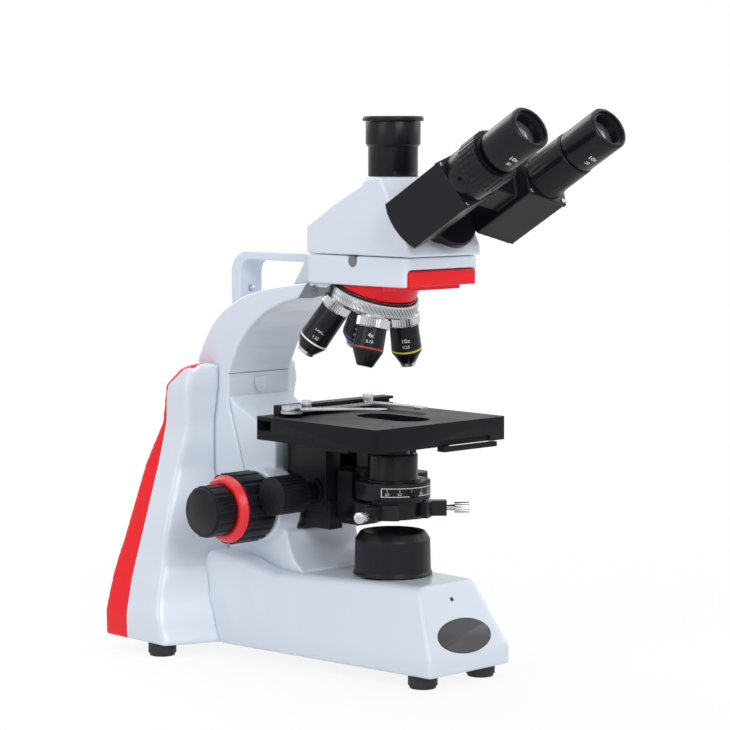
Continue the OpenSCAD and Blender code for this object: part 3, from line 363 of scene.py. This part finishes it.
# Edges sharper than this, in degrees, are broken and shaded sharp
SHARP = 32


def machined(node, material, edge, shade):
    """A CAD node with its edges broken, as a turned, milled or moulded piece."""
    piece = cad_copy(node, node + "_finished")
    if edge:
        apply_modifier(piece, "BEVEL", width=edge * MM, segments=3, limit_method="ANGLE",
                       angle_limit=math.radians(SHARP), use_clamp_overlap=True, harden_normals=True)
    smooth(piece, shade)
    seat(piece, body_of(node), material)
    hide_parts(node)


def soften(piece, voxel, rounds):
    """Rounds a casting all over: an even net of faces, relaxed."""
    apply_modifier(piece, "REMESH", mode="VOXEL", voxel_size=voxel * MM, adaptivity=0.0)
    apply_modifier(piece, "SMOOTH", factor=0.5, iterations=rounds)


def boolean(piece, cutter, operation="DIFFERENCE"):
    """Cuts a piece by another one, which is used up."""
    apply_modifier(piece, "BOOLEAN", object=cutter, operation=operation, solver="EXACT")
    bpy.data.objects.remove(cutter, do_unlink=True)


def joined(pieces, name):
    """Several pieces as one mesh."""
    bpy.ops.object.select_all(action="DESELECT")
    for piece in pieces:
        piece.select_set(True)
    bpy.context.view_layer.objects.active = pieces[0]
    bpy.ops.object.join()
    pieces[0].name = name
    return pieces[0]


def block(name, low, high):
    """A box from corner to corner, in millimetres."""
    low, high = Vector(low), Vector(high)
    bpy.ops.object.select_all(action="DESELECT")
    bpy.ops.mesh.primitive_cube_add(size=1, location=at(*((low + high) / 2)))
    piece = bpy.context.active_object
    piece.name = name
    piece.scale = (high - low) * MM
    bake_place(piece)
    return piece


def turned(name, place, profile, sides=72):
    """A turned piece: a disc drawn up or down step by step along (radius, height) pairs in millimetres."""
    bpy.ops.object.select_all(action="DESELECT")
    radius, height = profile[0]
    bpy.ops.mesh.primitive_circle_add(vertices=sides, radius=radius * MM, fill_type="NGON")
    piece = bpy.context.active_object
    piece.name = name
    bpy.ops.object.mode_set(mode="EDIT")
    bpy.ops.mesh.select_all(action="SELECT")
    bpy.ops.transform.translate(value=(0, 0, height * MM))
    bpy.ops.mesh.flip_normals()
    for next_radius, next_height in profile[1:]:
        bpy.ops.mesh.extrude_region_move(
            TRANSFORM_OT_translate={"value": (0, 0, (next_height - height) * MM)})
        share = next_radius / radius
        bpy.ops.transform.resize(value=(share, share, 1), center_override=(0, 0, next_height * MM))
        radius, height = next_radius, next_height
    bpy.ops.mesh.select_all(action="SELECT")
    bpy.ops.mesh.normals_make_consistent(inside=False)
    bpy.ops.object.mode_set(mode="OBJECT")
    piece.matrix_world = place
    bake_place(piece)
    return piece


def ring(name, place, profile, body, material, sides=72):
    """A closed turned ring whose profile ends where it began, without its two end discs."""
    piece = turned(name, Matrix.Identity(4), profile, sides)
    pick(piece)
    bpy.ops.object.mode_set(mode="EDIT")
    bpy.ops.mesh.select_mode(type="FACE")
    bpy.ops.mesh.select_all(action="DESELECT")
    bpy.ops.object.mode_set(mode="OBJECT")
    for face in piece.data.polygons:
        face.select = len(face.vertices) > 4
    bpy.ops.object.mode_set(mode="EDIT")
    bpy.ops.mesh.delete(type="ONLY_FACE")
    bpy.ops.mesh.select_mode(type="VERT")
    bpy.ops.mesh.select_all(action="SELECT")
    bpy.ops.mesh.remove_doubles(threshold=RING_MERGE)
    bpy.ops.mesh.normals_make_consistent(inside=False)
    bpy.ops.object.mode_set(mode="OBJECT")
    piece.matrix_world = place
    bake_place(piece)
    smooth(piece, 30)
    return seat(piece, body, material)


def outline_prism(name, outline, start, end, across=True):
    """A prism in millimetres: (y, z) pairs drawn out across the width, or (x, z) pairs along the depth."""
    bpy.ops.object.select_all(action="DESELECT")
    bpy.ops.mesh.primitive_circle_add(vertices=len(outline), fill_type="NGON")
    piece = bpy.context.active_object
    piece.name = name
    for vertex, (flat, z) in zip(piece.data.vertices, outline):
        vertex.co = at(start, flat, z) if across else at(flat, start, z)
    reach = (end - start) * MM
    bpy.ops.object.mode_set(mode="EDIT")
    bpy.ops.mesh.select_all(action="SELECT")
    bpy.ops.mesh.extrude_region_move(
        TRANSFORM_OT_translate={"value": (reach, 0, 0) if across else (0, reach, 0)})
    bpy.ops.mesh.select_all(action="SELECT")
    bpy.ops.mesh.normals_make_consistent(inside=False)
    bpy.ops.object.mode_set(mode="OBJECT")
    return piece


def casting(node, material, voxel, rounds, angle=50, cut=None):
    """A CAD node softened all over as a casting. The box cut out of it, if any, keeps crisp edges."""
    piece = cad_copy(node, node + "_shell")
    soften(piece, voxel, rounds)
    if cut:
        boolean(piece, block("cut", *cut))
    smooth(piece, angle)
    seat(piece, body_of(node), material)
    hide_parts(node)


# Castings: the base, the pillar with its coloured band, the arm and its cover

# The vent slots in the base's top
SLOT_COUNT, SLOT_HALF_LENGTH, SLOT_FRONT, SLOT_WIDTH, SLOT_STEP = 4, 14.0, 40.5, 1.8, 4.4


def base_shell():
    """The base's casting, with the vent slots behind the lamp."""
    piece = cad_copy("base_housing", "base_shell")
    soften(piece, 1.25, 9)
    slots = []
    for number in range(SLOT_COUNT):
        front = SLOT_FRONT + SLOT_STEP * number
        slots.append(block("slot", (-SLOT_HALF_LENGTH, front, BASE_TOP - 6),
                           (SLOT_HALF_LENGTH, front + SLOT_WIDTH, BASE_TOP + 4)))
    boolean(piece, joined(slots, "slots"))
    smooth(piece, 50)
    seat(piece, "stand", white_paint)
    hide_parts("base_housing")


# The rear panel's half outline as (x, z) pairs, and the box of its switch window
PANEL_HALF = [(81.5, 0), (82, 20.2), (75, 45.2), (59, 86.2), (45, 123.2), (37.5, 152.2), (41.5, 181.2),
              (38, 193.2), (32, 197.2)]
SWITCH_WINDOW = ((-50.3, 184, 28.7), (-29.7, 210, 43.3))
# The gap between the white pillar and its coloured band
BAND_GAP = 0.35


def band_prism(grow):
    """The side outline of the coloured band, drawn out across the stand."""
    seam = PILLAR_REAR - grow
    outline = [(seam - 25, -10), (seam - 25, 29), (seam - 21, 76), (seam - 17, 130), (seam - 17, 158),
               (seam - 21.3, 181), (seam - 24.5, 189), (seam - 38, 201), (seam - 46, 202.3),
               (seam - 46, 225), (220, 225), (220, -10)]
    return outline_prism("band_prism", outline, -110, 110)


def pillar_shells():
    """Pillar and band are softened as one casting and then parted, so that they meet flush."""
    nodes = ("rear_pillar", "rear_trim", "rear_panel")
    pillar = joined([cad_copy(node, node + "_soft") for node in nodes], "pillar_shell")
    soften(pillar, 1.5, 22)
    band = pillar.copy()
    band.data = pillar.data.copy()
    band.name = "pillar_band"
    bpy.context.scene.collection.objects.link(band)
    boolean(pillar, band_prism(BAND_GAP))
    boolean(band, band_prism(0.0), "INTERSECT")
    panel = PANEL_HALF + [(-x, z) for x, z in reversed(PANEL_HALF)]
    boolean(band, outline_prism("panel_prism", panel, 150, 215, across=False))
    for piece, node, material in ((pillar, "rear_pillar", white_paint), (band, "rear_trim", red_paint)):
        smooth(piece, 50)
        seat(piece, "stand", material)
        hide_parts(node)
    casting("rear_panel", white_paint, 1.0, 6, cut=SWITCH_WINDOW)


# The parting line across the front of the arm and its cover
ARM_SEAM = ((-31, 120, 197.5), (31, 138.6, 198.2))

# Each casting has its finish, the width of its net in millimetres and its rounds of relaxing
base_shell()
pillar_shells()
casting("arm", white_paint, 1.0, 24, cut=ARM_SEAM)
casting("front_cover", white_paint, 1.0, 20, cut=ARM_SEAM)
casting("handle", white_paint, 0.6, 8)
casting("head_housing", white_paint, 0.9, 8)
casting("nosepiece_bracket", red_paint, 0.75, 9)

# The finish of each turned, milled or moulded node, and the width of its broken edges in millimetres
FINISHES = {
    "base_plate": (grey_sheet, 0.3), "feet": (foot_rubber, 0.8), "lamp_collar": (knob_black, 0.8),
    "field_lens": (field_glass, 0), "led_module": (bare_aluminium, 0), "power_inlet": (knob_black, 0.2),
    "power_switch": (knob_black, 0.4), "brightness_dial": (knob_black, 0.3),
    "arm_screws": (brushed_steel, 0.2), "head_lock_screw": (grey_sheet, 0.3),
    "coarse_shaft": (brushed_steel, 0), "coarse_knobs": (knob_black, 0.5),
    "tension_ring": (red_plastic, 0.5), "fine_shaft": (brushed_steel, 0.2),
    "fine_knobs": (knob_black, 0.5), "stage_bracket": (black_paint, 0.8), "focus_rack": (brass, 0),
    "stage_carriage": (black_paint, 0.4), "stage_plate": (stage_black, 0.8),
    "stage_rail": (stage_black, 0.3), "slide_holder": (satin_chrome, 0.2),
    "holder_screws": (chrome, 0.12), "spring_finger": (chrome, 0.2),
    "stage_drive_knob": (knob_black, 0.3), "slide_drive_knob": (knob_black, 0.3),
    "condenser_carrier": (black_paint, 0.4), "condenser_barrel": (tube_black, 0.4),
    "condenser_lens": (front_glass, 0), "iris_ring": (black_paint, 0.4),
    "centring_screws": (chrome, 0.15), "condenser_knob": (knob_black, 0.25),
    "turret": (satin_chrome, 0.3), "objective_4x": (tube_black, 0.3), "objective_10x": (tube_black, 0.3),
    "objective_40x": (tube_black, 0.3), "objective_100x": (tube_black, 0.3),
    "objective_lenses": (front_glass, 0), "prism": (front_glass, 0), "photo_tube": (tube_black, 0.3),
    "dust_cap": (knob_black, 0.5), "hinge_hub": (black_paint, 0.4), "left_tube": (tube_black, 0.3),
    "right_tube": (tube_black, 0.3), "dioptre_ring": (tube_black, 0.2),
    "left_eyepiece": (tube_black, 0.4), "right_eyepiece": (tube_black, 0.4),
    "left_eye_lens": (eye_glass_painted_reflection, 0), "right_eye_lens": (eye_glass_painted_reflection, 0)}

# Boxlike pieces, shaded smooth only up to a small angle in degrees, so that their wide faces look flat
MILLED = ("stage_plate", "stage_bracket", "stage_rail", "stage_carriage", "condenser_carrier",
          "slide_holder", "base_plate")
MILLED_SHADE = 14

for node_name, (finish, edge_width) in FINISHES.items():
    machined(node_name, finish, edge_width, MILLED_SHADE if node_name in MILLED else SHARP)


# Added pieces: knurls, rings, numbers, plates, screws and windows

# The slopes at both ends of a knurled band: how far they lead inwards, and their height, in millimetres
KNURL_RIM, KNURL_CHAMFER = 1.0, 0.1
# How thick the printing is, and how far it stands off its surface, in metres
INK_THICKNESS, INK_LIFT = 0.00002, 0.00004
# The side of the microscope that its printed numbers face
SHOWN = Vector((-1.0, -1.0, 0.0)).normalized()


def facing(place):
    """The angle about a piece's own axis that turns towards the shown side, in degrees."""
    local = place.to_3x3().inverted() @ SHOWN
    return math.degrees(math.atan2(local.y, local.x))


def band(name, place, radius, low, high, body, material, slot=None, deep=0.6):
    """A thin ring let into a turned surface."""
    inner, worn = radius - deep, 0.05
    return ring(name, place, [(inner, low), (radius - worn, low), (radius, low + worn),
                              (radius, high - worn), (radius - worn, high), (inner, high), (inner, low)],
                body, material)


def knurled(name, place, radius, low, high, teeth, depth, rows):
    """A band of knurling: steps drawn up from a ring, every second point pressed in."""
    bpy.ops.object.select_all(action="DESELECT")
    bpy.ops.mesh.primitive_circle_add(vertices=2 * teeth, radius=(radius - KNURL_RIM) * MM)
    piece = bpy.context.active_object
    piece.name = name
    step = (high - low) / rows * MM
    widen = radius / (radius - KNURL_RIM)
    bpy.ops.object.mode_set(mode="EDIT")
    bpy.ops.mesh.select_all(action="SELECT")
    bpy.ops.transform.translate(value=(0, 0, low * MM))
    bpy.ops.mesh.extrude_region_move(TRANSFORM_OT_translate={"value": (0, 0, KNURL_CHAMFER * MM)})
    bpy.ops.transform.resize(value=(widen, widen, 1), center_override=(0, 0, 0))
    for _ in range(rows):
        bpy.ops.mesh.extrude_region_move(TRANSFORM_OT_translate={"value": (0, 0, step)})
    bpy.ops.mesh.extrude_region_move(TRANSFORM_OT_translate={"value": (0, 0, KNURL_CHAMFER * MM)})
    bpy.ops.transform.resize(value=(1 / widen, 1 / widen, 1), center_override=(0, 0, 0))
    bpy.ops.mesh.select_mode(type="VERT")
    bpy.ops.mesh.select_all(action="DESELECT")
    bpy.ops.object.mode_set(mode="OBJECT")
    for vertex in piece.data.vertices:
        place_round = round(math.atan2(vertex.co.y, vertex.co.x) / math.tau * 2 * teeth)
        row = round((vertex.co.z - low * MM) / step)
        outer = math.hypot(vertex.co.x, vertex.co.y) > (radius - KNURL_RIM / 2) * MM
        shifted = row if rows > 1 else 0
        vertex.select = outer and (place_round + shifted) % 2 == 1
    press = 1 - depth / radius
    bpy.ops.object.mode_set(mode="EDIT")
    bpy.ops.transform.resize(value=(press, press, 1), center_override=(0, 0, 0))
    bpy.ops.mesh.select_all(action="SELECT")
    bpy.ops.mesh.normals_make_consistent(inside=False)
    bpy.ops.object.mode_set(mode="OBJECT")
    piece.matrix_world = place
    bake_place(piece)
    return piece


def printed(name, text, size, place, radius, angle, height, body, material):
    """Small printed figures wrapped round a turned piece, upright along its axis.

    angle, in degrees about the axis, and height, in millimetres along it, place the middle of the text.
    """
    bpy.ops.object.select_all(action="DESELECT")
    bpy.ops.object.text_add()
    piece = bpy.context.active_object
    piece.name = name
    piece.data.body = text
    piece.data.size = size * MM
    piece.data.align_x = "CENTER"
    piece.data.align_y = "CENTER"
    piece.data.extrude = INK_THICKNESS
    piece.data.resolution_u = 2
    bpy.ops.object.convert(target="MESH")
    start = math.radians(angle)
    for vertex in piece.data.vertices:
        x, y, z = vertex.co
        reach = radius * MM + z + INK_LIFT
        around = start + x / (radius * MM)
        vertex.co = (reach * math.cos(around), reach * math.sin(around), height * MM + y)
    piece.matrix_world = place
    bake_place(piece)
    return seat(piece, body, material)


def screw_head(name, place, radius, body, material=None):
    """A low round screw head with a hexagon socket."""
    top = 0.7
    profile = [(radius, -0.4), (radius, 0.45), (radius * 0.86, top), (0.02, top)]
    head = turned(name, Matrix.Identity(4), profile, 32)
    bpy.ops.object.select_all(action="DESELECT")
    bpy.ops.mesh.primitive_cylinder_add(vertices=6, radius=radius * 0.48 * MM, depth=1.0 * MM,
                                        location=(0, 0, top * MM))
    boolean(head, bpy.context.active_object)
    head.matrix_world = place
    bake_place(head)
    smooth(head, 30)
    return seat(head, body, material or chrome)


def nose_window():
    """The dark oval window, and the small sensor hole, on the base's sloping front; rim and hole are painted
    shade.
    """
    slope = turn(62.6, "X")
    half_width, half_height = 24.8, 12.0
    oval = WORLD @ shift(0, -68.6, 33.0) @ slope @ Matrix.Diagonal((1, half_height / half_width, 1, 1))
    window = turned("nose_window", oval, [(24.6, -1.5), (24.6, 0.12), (24.3, 0.25), (0.02, 0.25)], 96)
    smooth(window, 30)
    seat(window, "stand", dark_window)
    ring("nose_window_rim", oval, [(24.6, -1.2), (25.3, -1.2), (25.3, 0.06), (24.6, 0.2), (24.6, -1.2)],
         "stand", hole_shade_black, 96)
    sensor = turned("nose_sensor", WORLD @ shift(0, -56.7, 56.1) @ slope,
                    [(1.5, -1.2), (1.5, 0.12), (1.35, 0.2), (0.02, 0.1)], 32)
    seat(sensor, "stand", hole_shade_black)


# The objectives in their seats, in millimetres: ring colour, distance of the ring below the shoulder, power,
# aperture, length, and radius and height of the bright tip
OBJECTIVES = (
    ("yellow", 26.0, "10x", "0.25", 38.0, 5.6, 2.5),
    ("red", 21.5, "4x", "0.10", 34.0, 5.2, 1.2),
    ("white", 34.0, "100x", "1.25", 44.6, 6.4, 2.5),
    ("blue", 33.0, "40x", "0.65", 44.0, 5.8, 2.5))


def nosepiece_details():
    """The nosepiece's knurled ring, and the collar, rings, tip and numbers of each objective."""
    patches = knurled("turret_knurl", TURRET, TURRET_R + 0.3, 4.9, 10.7, 66, 0.75, 4)
    seat(patches, "turret", satin_chrome)
    band("turret_top_edge", TURRET, TURRET_R + 0.1, 11.1, 12.3, "turret", chrome, "chrome", 2.0)
    # The gap under the turret's top edge is a ring of painted shade
    band("turret_gap", TURRET, TURRET_R - 1.2, 12.5, 13.5, "turret", hole_shade_black, "black_metal", 2.0)
    barrel = COLLAR_R - 0.9
    bore, low, high = 7.7, -7.0, 4.4
    collar = [(bore, low), (COLLAR_R - 0.35, low), (COLLAR_R - 0.15, -6.7), (COLLAR_R - 0.95, -6.4),
              (COLLAR_R - 0.95, -0.7), (COLLAR_R - 0.15, -0.45), (COLLAR_R - 0.3, -0.05), (10, -0.05),
              (10, high), (bore, high), (bore, low)]
    collars = []
    for k, (colour, mark, power, aperture, length, tip_r, tip_h) in enumerate(OBJECTIVES):
        place = objective_place(k)
        side = facing(place)
        collars += [ring("collar", place, collar, "turret", chrome),
                    knurled("collar_knurl", place, COLLAR_R, -6.4, -0.7, 38, 0.85, 1)]
        band("objective_ring_" + power, place, barrel + 0.08, -mark - 0.3, -mark + 0.9, "turret",
             ring_inks[colour])
        # The groove round each objective is painted shade
        band("objective_groove_" + power, place, barrel - 0.45, -9.2, -8.7, "turret", hole_shade_black,
             "black_metal")
        tip_bore = tip_r - 1.6
        tip = [(tip_bore, -length + 0.1), (tip_r - 0.2, -length), (tip_r + 0.1, -length + tip_h),
               (tip_bore, -length + tip_h), (tip_bore, -length + 0.1)]
        ring("objective_tip_" + power, place, tip, "turret", satin_chrome)
        printed("objective_power_" + power, power, 4.2, place, barrel - 0.25, side, -mark + 9.0, "turret",
                white_ink)
        printed("objective_aperture_" + power, aperture, 3.0, place, barrel - 0.1, side, -mark + 4.6,
                "turret", white_ink)
    whole = joined(collars, "objective_collars_knurled")
    smooth(whole, 30)
    seat(whole, "turret", chrome)
    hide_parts("objective_collars")


# How far the eyepieces' numbers are turned past the shown side, in degrees
EYEPIECE_TWIST = 38
# The eyepiece arms' end plates: half sizes across and along, corner radius, and the screws' places
PLATE_HALF_X, PLATE_HALF_Y, PLATE_CORNER = 16.35, 17.6, 2.2
PLATE_SCREWS = ((-13.6, -14.9), (13.6, -14.9), (-13.6, 14.9), (13.6, 14.9))


def eyepiece_arm(node, place, body):
    """One eyepiece arm, with the screwed plate on its end."""
    casting(node, black_paint, 0.75, 5, 40)
    radius = 16.4
    half_side = radius * math.cos(math.pi / 4)
    profile = [(radius, -2.6), (radius, -0.1), (16.1, 0.03), (0.5, 0.03)]
    plate = turned(node + "_end_plate", turn(45, "Z"), profile, 4)
    plate.scale = (PLATE_HALF_X / half_side, PLATE_HALF_Y / half_side, 1)
    bake_place(plate)
    apply_modifier(plate, "BEVEL", width=PLATE_CORNER * MM, segments=5, limit_method="ANGLE",
                   angle_limit=math.radians(60), use_clamp_overlap=True)
    plate.matrix_world = place
    bake_place(plate)
    smooth(plate, 30)
    seat(plate, body, black_paint)
    for number, (x, y) in enumerate(PLATE_SCREWS):
        screw_head("%s_plate_screw_%d" % (node, number), place @ shift(x, y, 0), 1.35, body)


def viewing_details():
    """The cover over the hinge, the eyepiece arms, and the eyepieces' grooves, faces and numbers."""
    cover = turned("hinge_cover", VIEW @ shift(0, -6.5, 0),
                   [(23.5, -62.3), (25, -61.2), (25, -58), (23.8, -56.8), (14, -56.8)], 96)
    smooth(cover, 30)
    seat(cover, "head", black_paint)
    eyepiece_arm("left_arm", LEFT, "left_arm")
    eyepiece_arm("right_arm", RIGHT, "right_arm")
    for name, place, body in (("left", LEFT, "left_arm"), ("right", RIGHT, "right_arm")):
        # The groove round each eyepiece is painted shade
        band(name + "_eyepiece_groove", place, EYEPIECE_R + 0.04, 36.6, 37.0, body, hole_shade_black,
             "black_plastic")
        ring(name + "_eyepiece_face", place,
             [(10.1, 60.9), (13.2, 60.9), (13.2, 62.8), (10.7, 62.8), (10.1, 60.9)],
             body, tube_black)
        side = facing(place) + EYEPIECE_TWIST
        printed(name + "_eyepiece_power", "10x", 4.6, place, EYEPIECE_R, side, 47.0, body, white_ink)
        printed(name + "_eyepiece_field", "20", 3.4, place, EYEPIECE_R, side, 41.8, body, white_ink)
    screw_head("dioptre_set_screw", LEFT @ turn(facing(LEFT), "Z") @ shift(17.2, 0, 9) @ turn(90, "Y"), 1.2,
               "left_arm", black_paint)


def arc_only(piece, start, end):
    """Leaves of a ring round the optical axis only the part between two angles, in degrees."""
    axis = at(0, 0, 0)
    pick(piece)
    bpy.ops.object.mode_set(mode="EDIT")
    bpy.ops.mesh.select_mode(type="FACE")
    bpy.ops.mesh.select_all(action="DESELECT")
    bpy.ops.object.mode_set(mode="OBJECT")
    for face in piece.data.polygons:
        angle = math.degrees(math.atan2(face.center.y - axis.y, face.center.x - axis.x))
        face.select = not start < angle < end
    bpy.ops.object.mode_set(mode="EDIT")
    bpy.ops.mesh.delete(type="FACE")
    bpy.ops.object.mode_set(mode="OBJECT")


def condenser_scale():
    """The aperture scale: an outlined strip with ticks and plain figures."""
    place = WORLD @ shift(0, 0, IRIS_Z)
    start, end, low, high, line_width = -152.0, -58.0, 3.2, 9.2, 0.35
    inner, outer = IRIS_R - 0.4, IRIS_R + 0.06
    for name, bottom, top in (("scale_line_low", low, low + line_width),
                              ("scale_line_high", high - line_width, high)):
        strip = [(inner, bottom), (outer, bottom), (outer, top), (inner, top), (inner, bottom)]
        line = ring(name, place, strip, "iris_ring", white_ink, 144)
        arc_only(line, start, end)
    for number, figure in enumerate(("0.9", "0.7", "0.5", "0.3", "0.1")):
        angle = start + 9 + number * 19
        printed("scale_figure_%d" % number, figure, 2.4, place, IRIS_R, angle, 4.9, "iris_ring", white_ink)
        printed("scale_tick_%d" % number, "|", 2.6, place, IRIS_R, angle, 7.6, "iris_ring", white_ink)
    for name, angle in (("scale_end_a", start), ("scale_end_b", end)):
        printed(name, "|", 6.4, place, IRIS_R, angle, 6.2, "iris_ring", white_ink)


def neck_recess():
    """A grey sheet of painted shade over the neck's recess behind the nosepiece, and its screw in that
    shade, on each side of the arm.
    """
    outline = [(64.5, 253.6), (54, 266.6), (20, 266.6), (20, 262.5), (43, 257.6), (56, 254.4)]
    proud = 0.15
    for side, sign, low, high in (("left", -1, -31.0, -29.0), ("right", 1, 29.0, 31.0)):
        shade_sheet = cad_copy("arm", "neck_shade_sheet_" + side)
        boolean(shade_sheet, outline_prism("shade_sheet_cut", outline, low, high), "INTERSECT")
        shade_sheet.location = (sign * proud * MM, 0, 0)
        seat(shade_sheet, "stand", neck_recess_shade)
        screw_head("neck_screw_" + side, WORLD @ shift(sign * 30.2, 46, 261.5) @ turn(sign * 90, "Y"), 2.1,
                   "stand", neck_recess_shade)


def photo_tube_seat():
    """The round boss that carries the photo tube over the head's sloping back."""
    inner, outer, bottom = 15.3, 18.2, 318
    boss = [(inner, bottom), (outer, bottom), (outer, HEAD_TOP - 0.6), (outer - 0.5, HEAD_TOP),
            (inner, HEAD_TOP), (inner, bottom)]
    ring("photo_tube_seat", WORLD, boss, "head", white_paint)


nose_window()
photo_tube_seat()
neck_recess()
nosepiece_details()
viewing_details()
condenser_scale()


# Camera, lights and floor

# The floor's size, and how far it lies under the feet, in metres
FLOOR_SIZE, FLOOR_DROP = 8.0, 0.0002
# The camera that was fitted to the photo: its place from the optical axis on the table, in millimetres, how
# far it looks down and to the right of straight back, in degrees, and its lens
CAMERA_PLACE = (-1207.9, -1220.0, 365.45)
CAMERA_DOWN, CAMERA_RIGHT, CAMERA_LENS = 5.1355, 44.0765, 124.0
# Lights: name, place in metres, size of the square, watts
LIGHTS = (
    ("key_light", (-0.6, -1.4, 1.0), 0.8, 12.0),
    ("side_light", (-1.4, 0.1, 0.8), 0.8, 5.0),
    ("fill_light", (1.3, -0.5, 0.8), 0.8, 4.0),
    ("top_light", (0.1, 0.2, 1.5), 1.0, 8.0),
    ("back_light", (0.3, 1.4, 0.9), 0.8, 5.0))


def seen_directly(nodes, links):
    """A mask of the rays that come from the camera, from a reflection or through glass."""
    seen = nodes.new("ShaderNodeLightPath")
    either = arithmetic(nodes, links, "ADD", seen.outputs["Is Camera Ray"], seen.outputs["Is Glossy Ray"])
    return arithmetic(nodes, links, "ADD", either, seen.outputs["Is Transmission Ray"], clamp=True)


def make_floor():
    """A pale floor for soft shadows, which fades into the white background."""
    bpy.ops.object.select_all(action="DESELECT")
    bpy.ops.mesh.primitive_plane_add(size=FLOOR_SIZE, location=(0, 0, -FLOOR_DROP))
    floor = bpy.context.active_object
    floor.name = "floor"
    material = bpy.data.materials.new("pale_floor")
    material.use_nodes = True
    nodes, links = material.node_tree.nodes, material.node_tree.links
    shader = nodes["Principled BSDF"]
    shader.inputs["Base Color"].default_value = (0.93, 0.935, 0.945, 1)
    shader.inputs["Roughness"].default_value = 0.6
    light = nodes.new("ShaderNodeEmission")
    light.inputs["Color"].default_value = (1, 1, 1, 1)
    spot = nodes.new("ShaderNodeTexCoord")
    away = nodes.new("ShaderNodeVectorMath")
    away.operation = "LENGTH"
    fade = map_range(nodes, 0.2, 0.8, 0.88, 1.0)
    links.new(spot.outputs["Object"], away.inputs[0])
    links.new(away.outputs["Value"], fade.inputs["Value"])
    share = arithmetic(nodes, links, "MULTIPLY", seen_directly(nodes, links), fade.outputs["Result"])
    mix = nodes.new("ShaderNodeMixShader")
    links.new(share, mix.inputs["Fac"])
    links.new(shader.outputs["BSDF"], mix.inputs[1])
    links.new(light.outputs["Emission"], mix.inputs[2])
    links.new(mix.outputs["Shader"], nodes["Material Output"].inputs["Surface"])
    floor.data.materials.append(material)


def make_world():
    """Soft light from all round, before a background that looks pure white."""
    world = bpy.data.worlds.new("studio")
    bpy.context.scene.world = world
    world.use_nodes = True
    nodes, links = world.node_tree.nodes, world.node_tree.links
    sky = nodes["Background"]
    sky.inputs["Color"].default_value = (0.93, 0.96, 1, 1)
    sky.inputs["Strength"].default_value = 0.34
    backdrop = nodes.new("ShaderNodeBackground")
    backdrop.inputs["Color"].default_value = (1, 1, 1, 1)
    backdrop.inputs["Strength"].default_value = 1.0
    mix = nodes.new("ShaderNodeMixShader")
    links.new(seen_directly(nodes, links), mix.inputs["Fac"])
    links.new(sky.outputs["Background"], mix.inputs[1])
    links.new(backdrop.outputs["Background"], mix.inputs[2])
    links.new(mix.outputs["Shader"], nodes["World Output"].inputs["Surface"])


def make_lights():
    middle = at(0, 10, 190)
    for name, place, size, watts in LIGHTS:
        lamp = bpy.data.lights.new(name, "AREA")
        lamp.size = size
        lamp.energy = watts
        lamp_object = bpy.data.objects.new(name, lamp)
        bpy.context.scene.collection.objects.link(lamp_object)
        lamp_object.location = Vector(place)
        lamp_object.rotation_euler = (middle - Vector(place)).to_track_quat("-Z", "Y").to_euler()


def make_camera():
    camera = bpy.data.cameras.new("camera")
    camera.sensor_width = 36
    camera.lens = CAMERA_LENS
    camera.clip_end = 20
    camera_object = bpy.data.objects.new("camera", camera)
    bpy.context.scene.collection.objects.link(camera_object)
    camera_object.location = at(*CAMERA_PLACE)
    camera_object.rotation_euler = (math.radians(90 - CAMERA_DOWN), 0, -math.radians(CAMERA_RIGHT))
    bpy.context.scene.camera = camera_object
    bpy.context.scene.view_settings.view_transform = "Standard"


make_floor()
make_world()
make_lights()
make_camera()
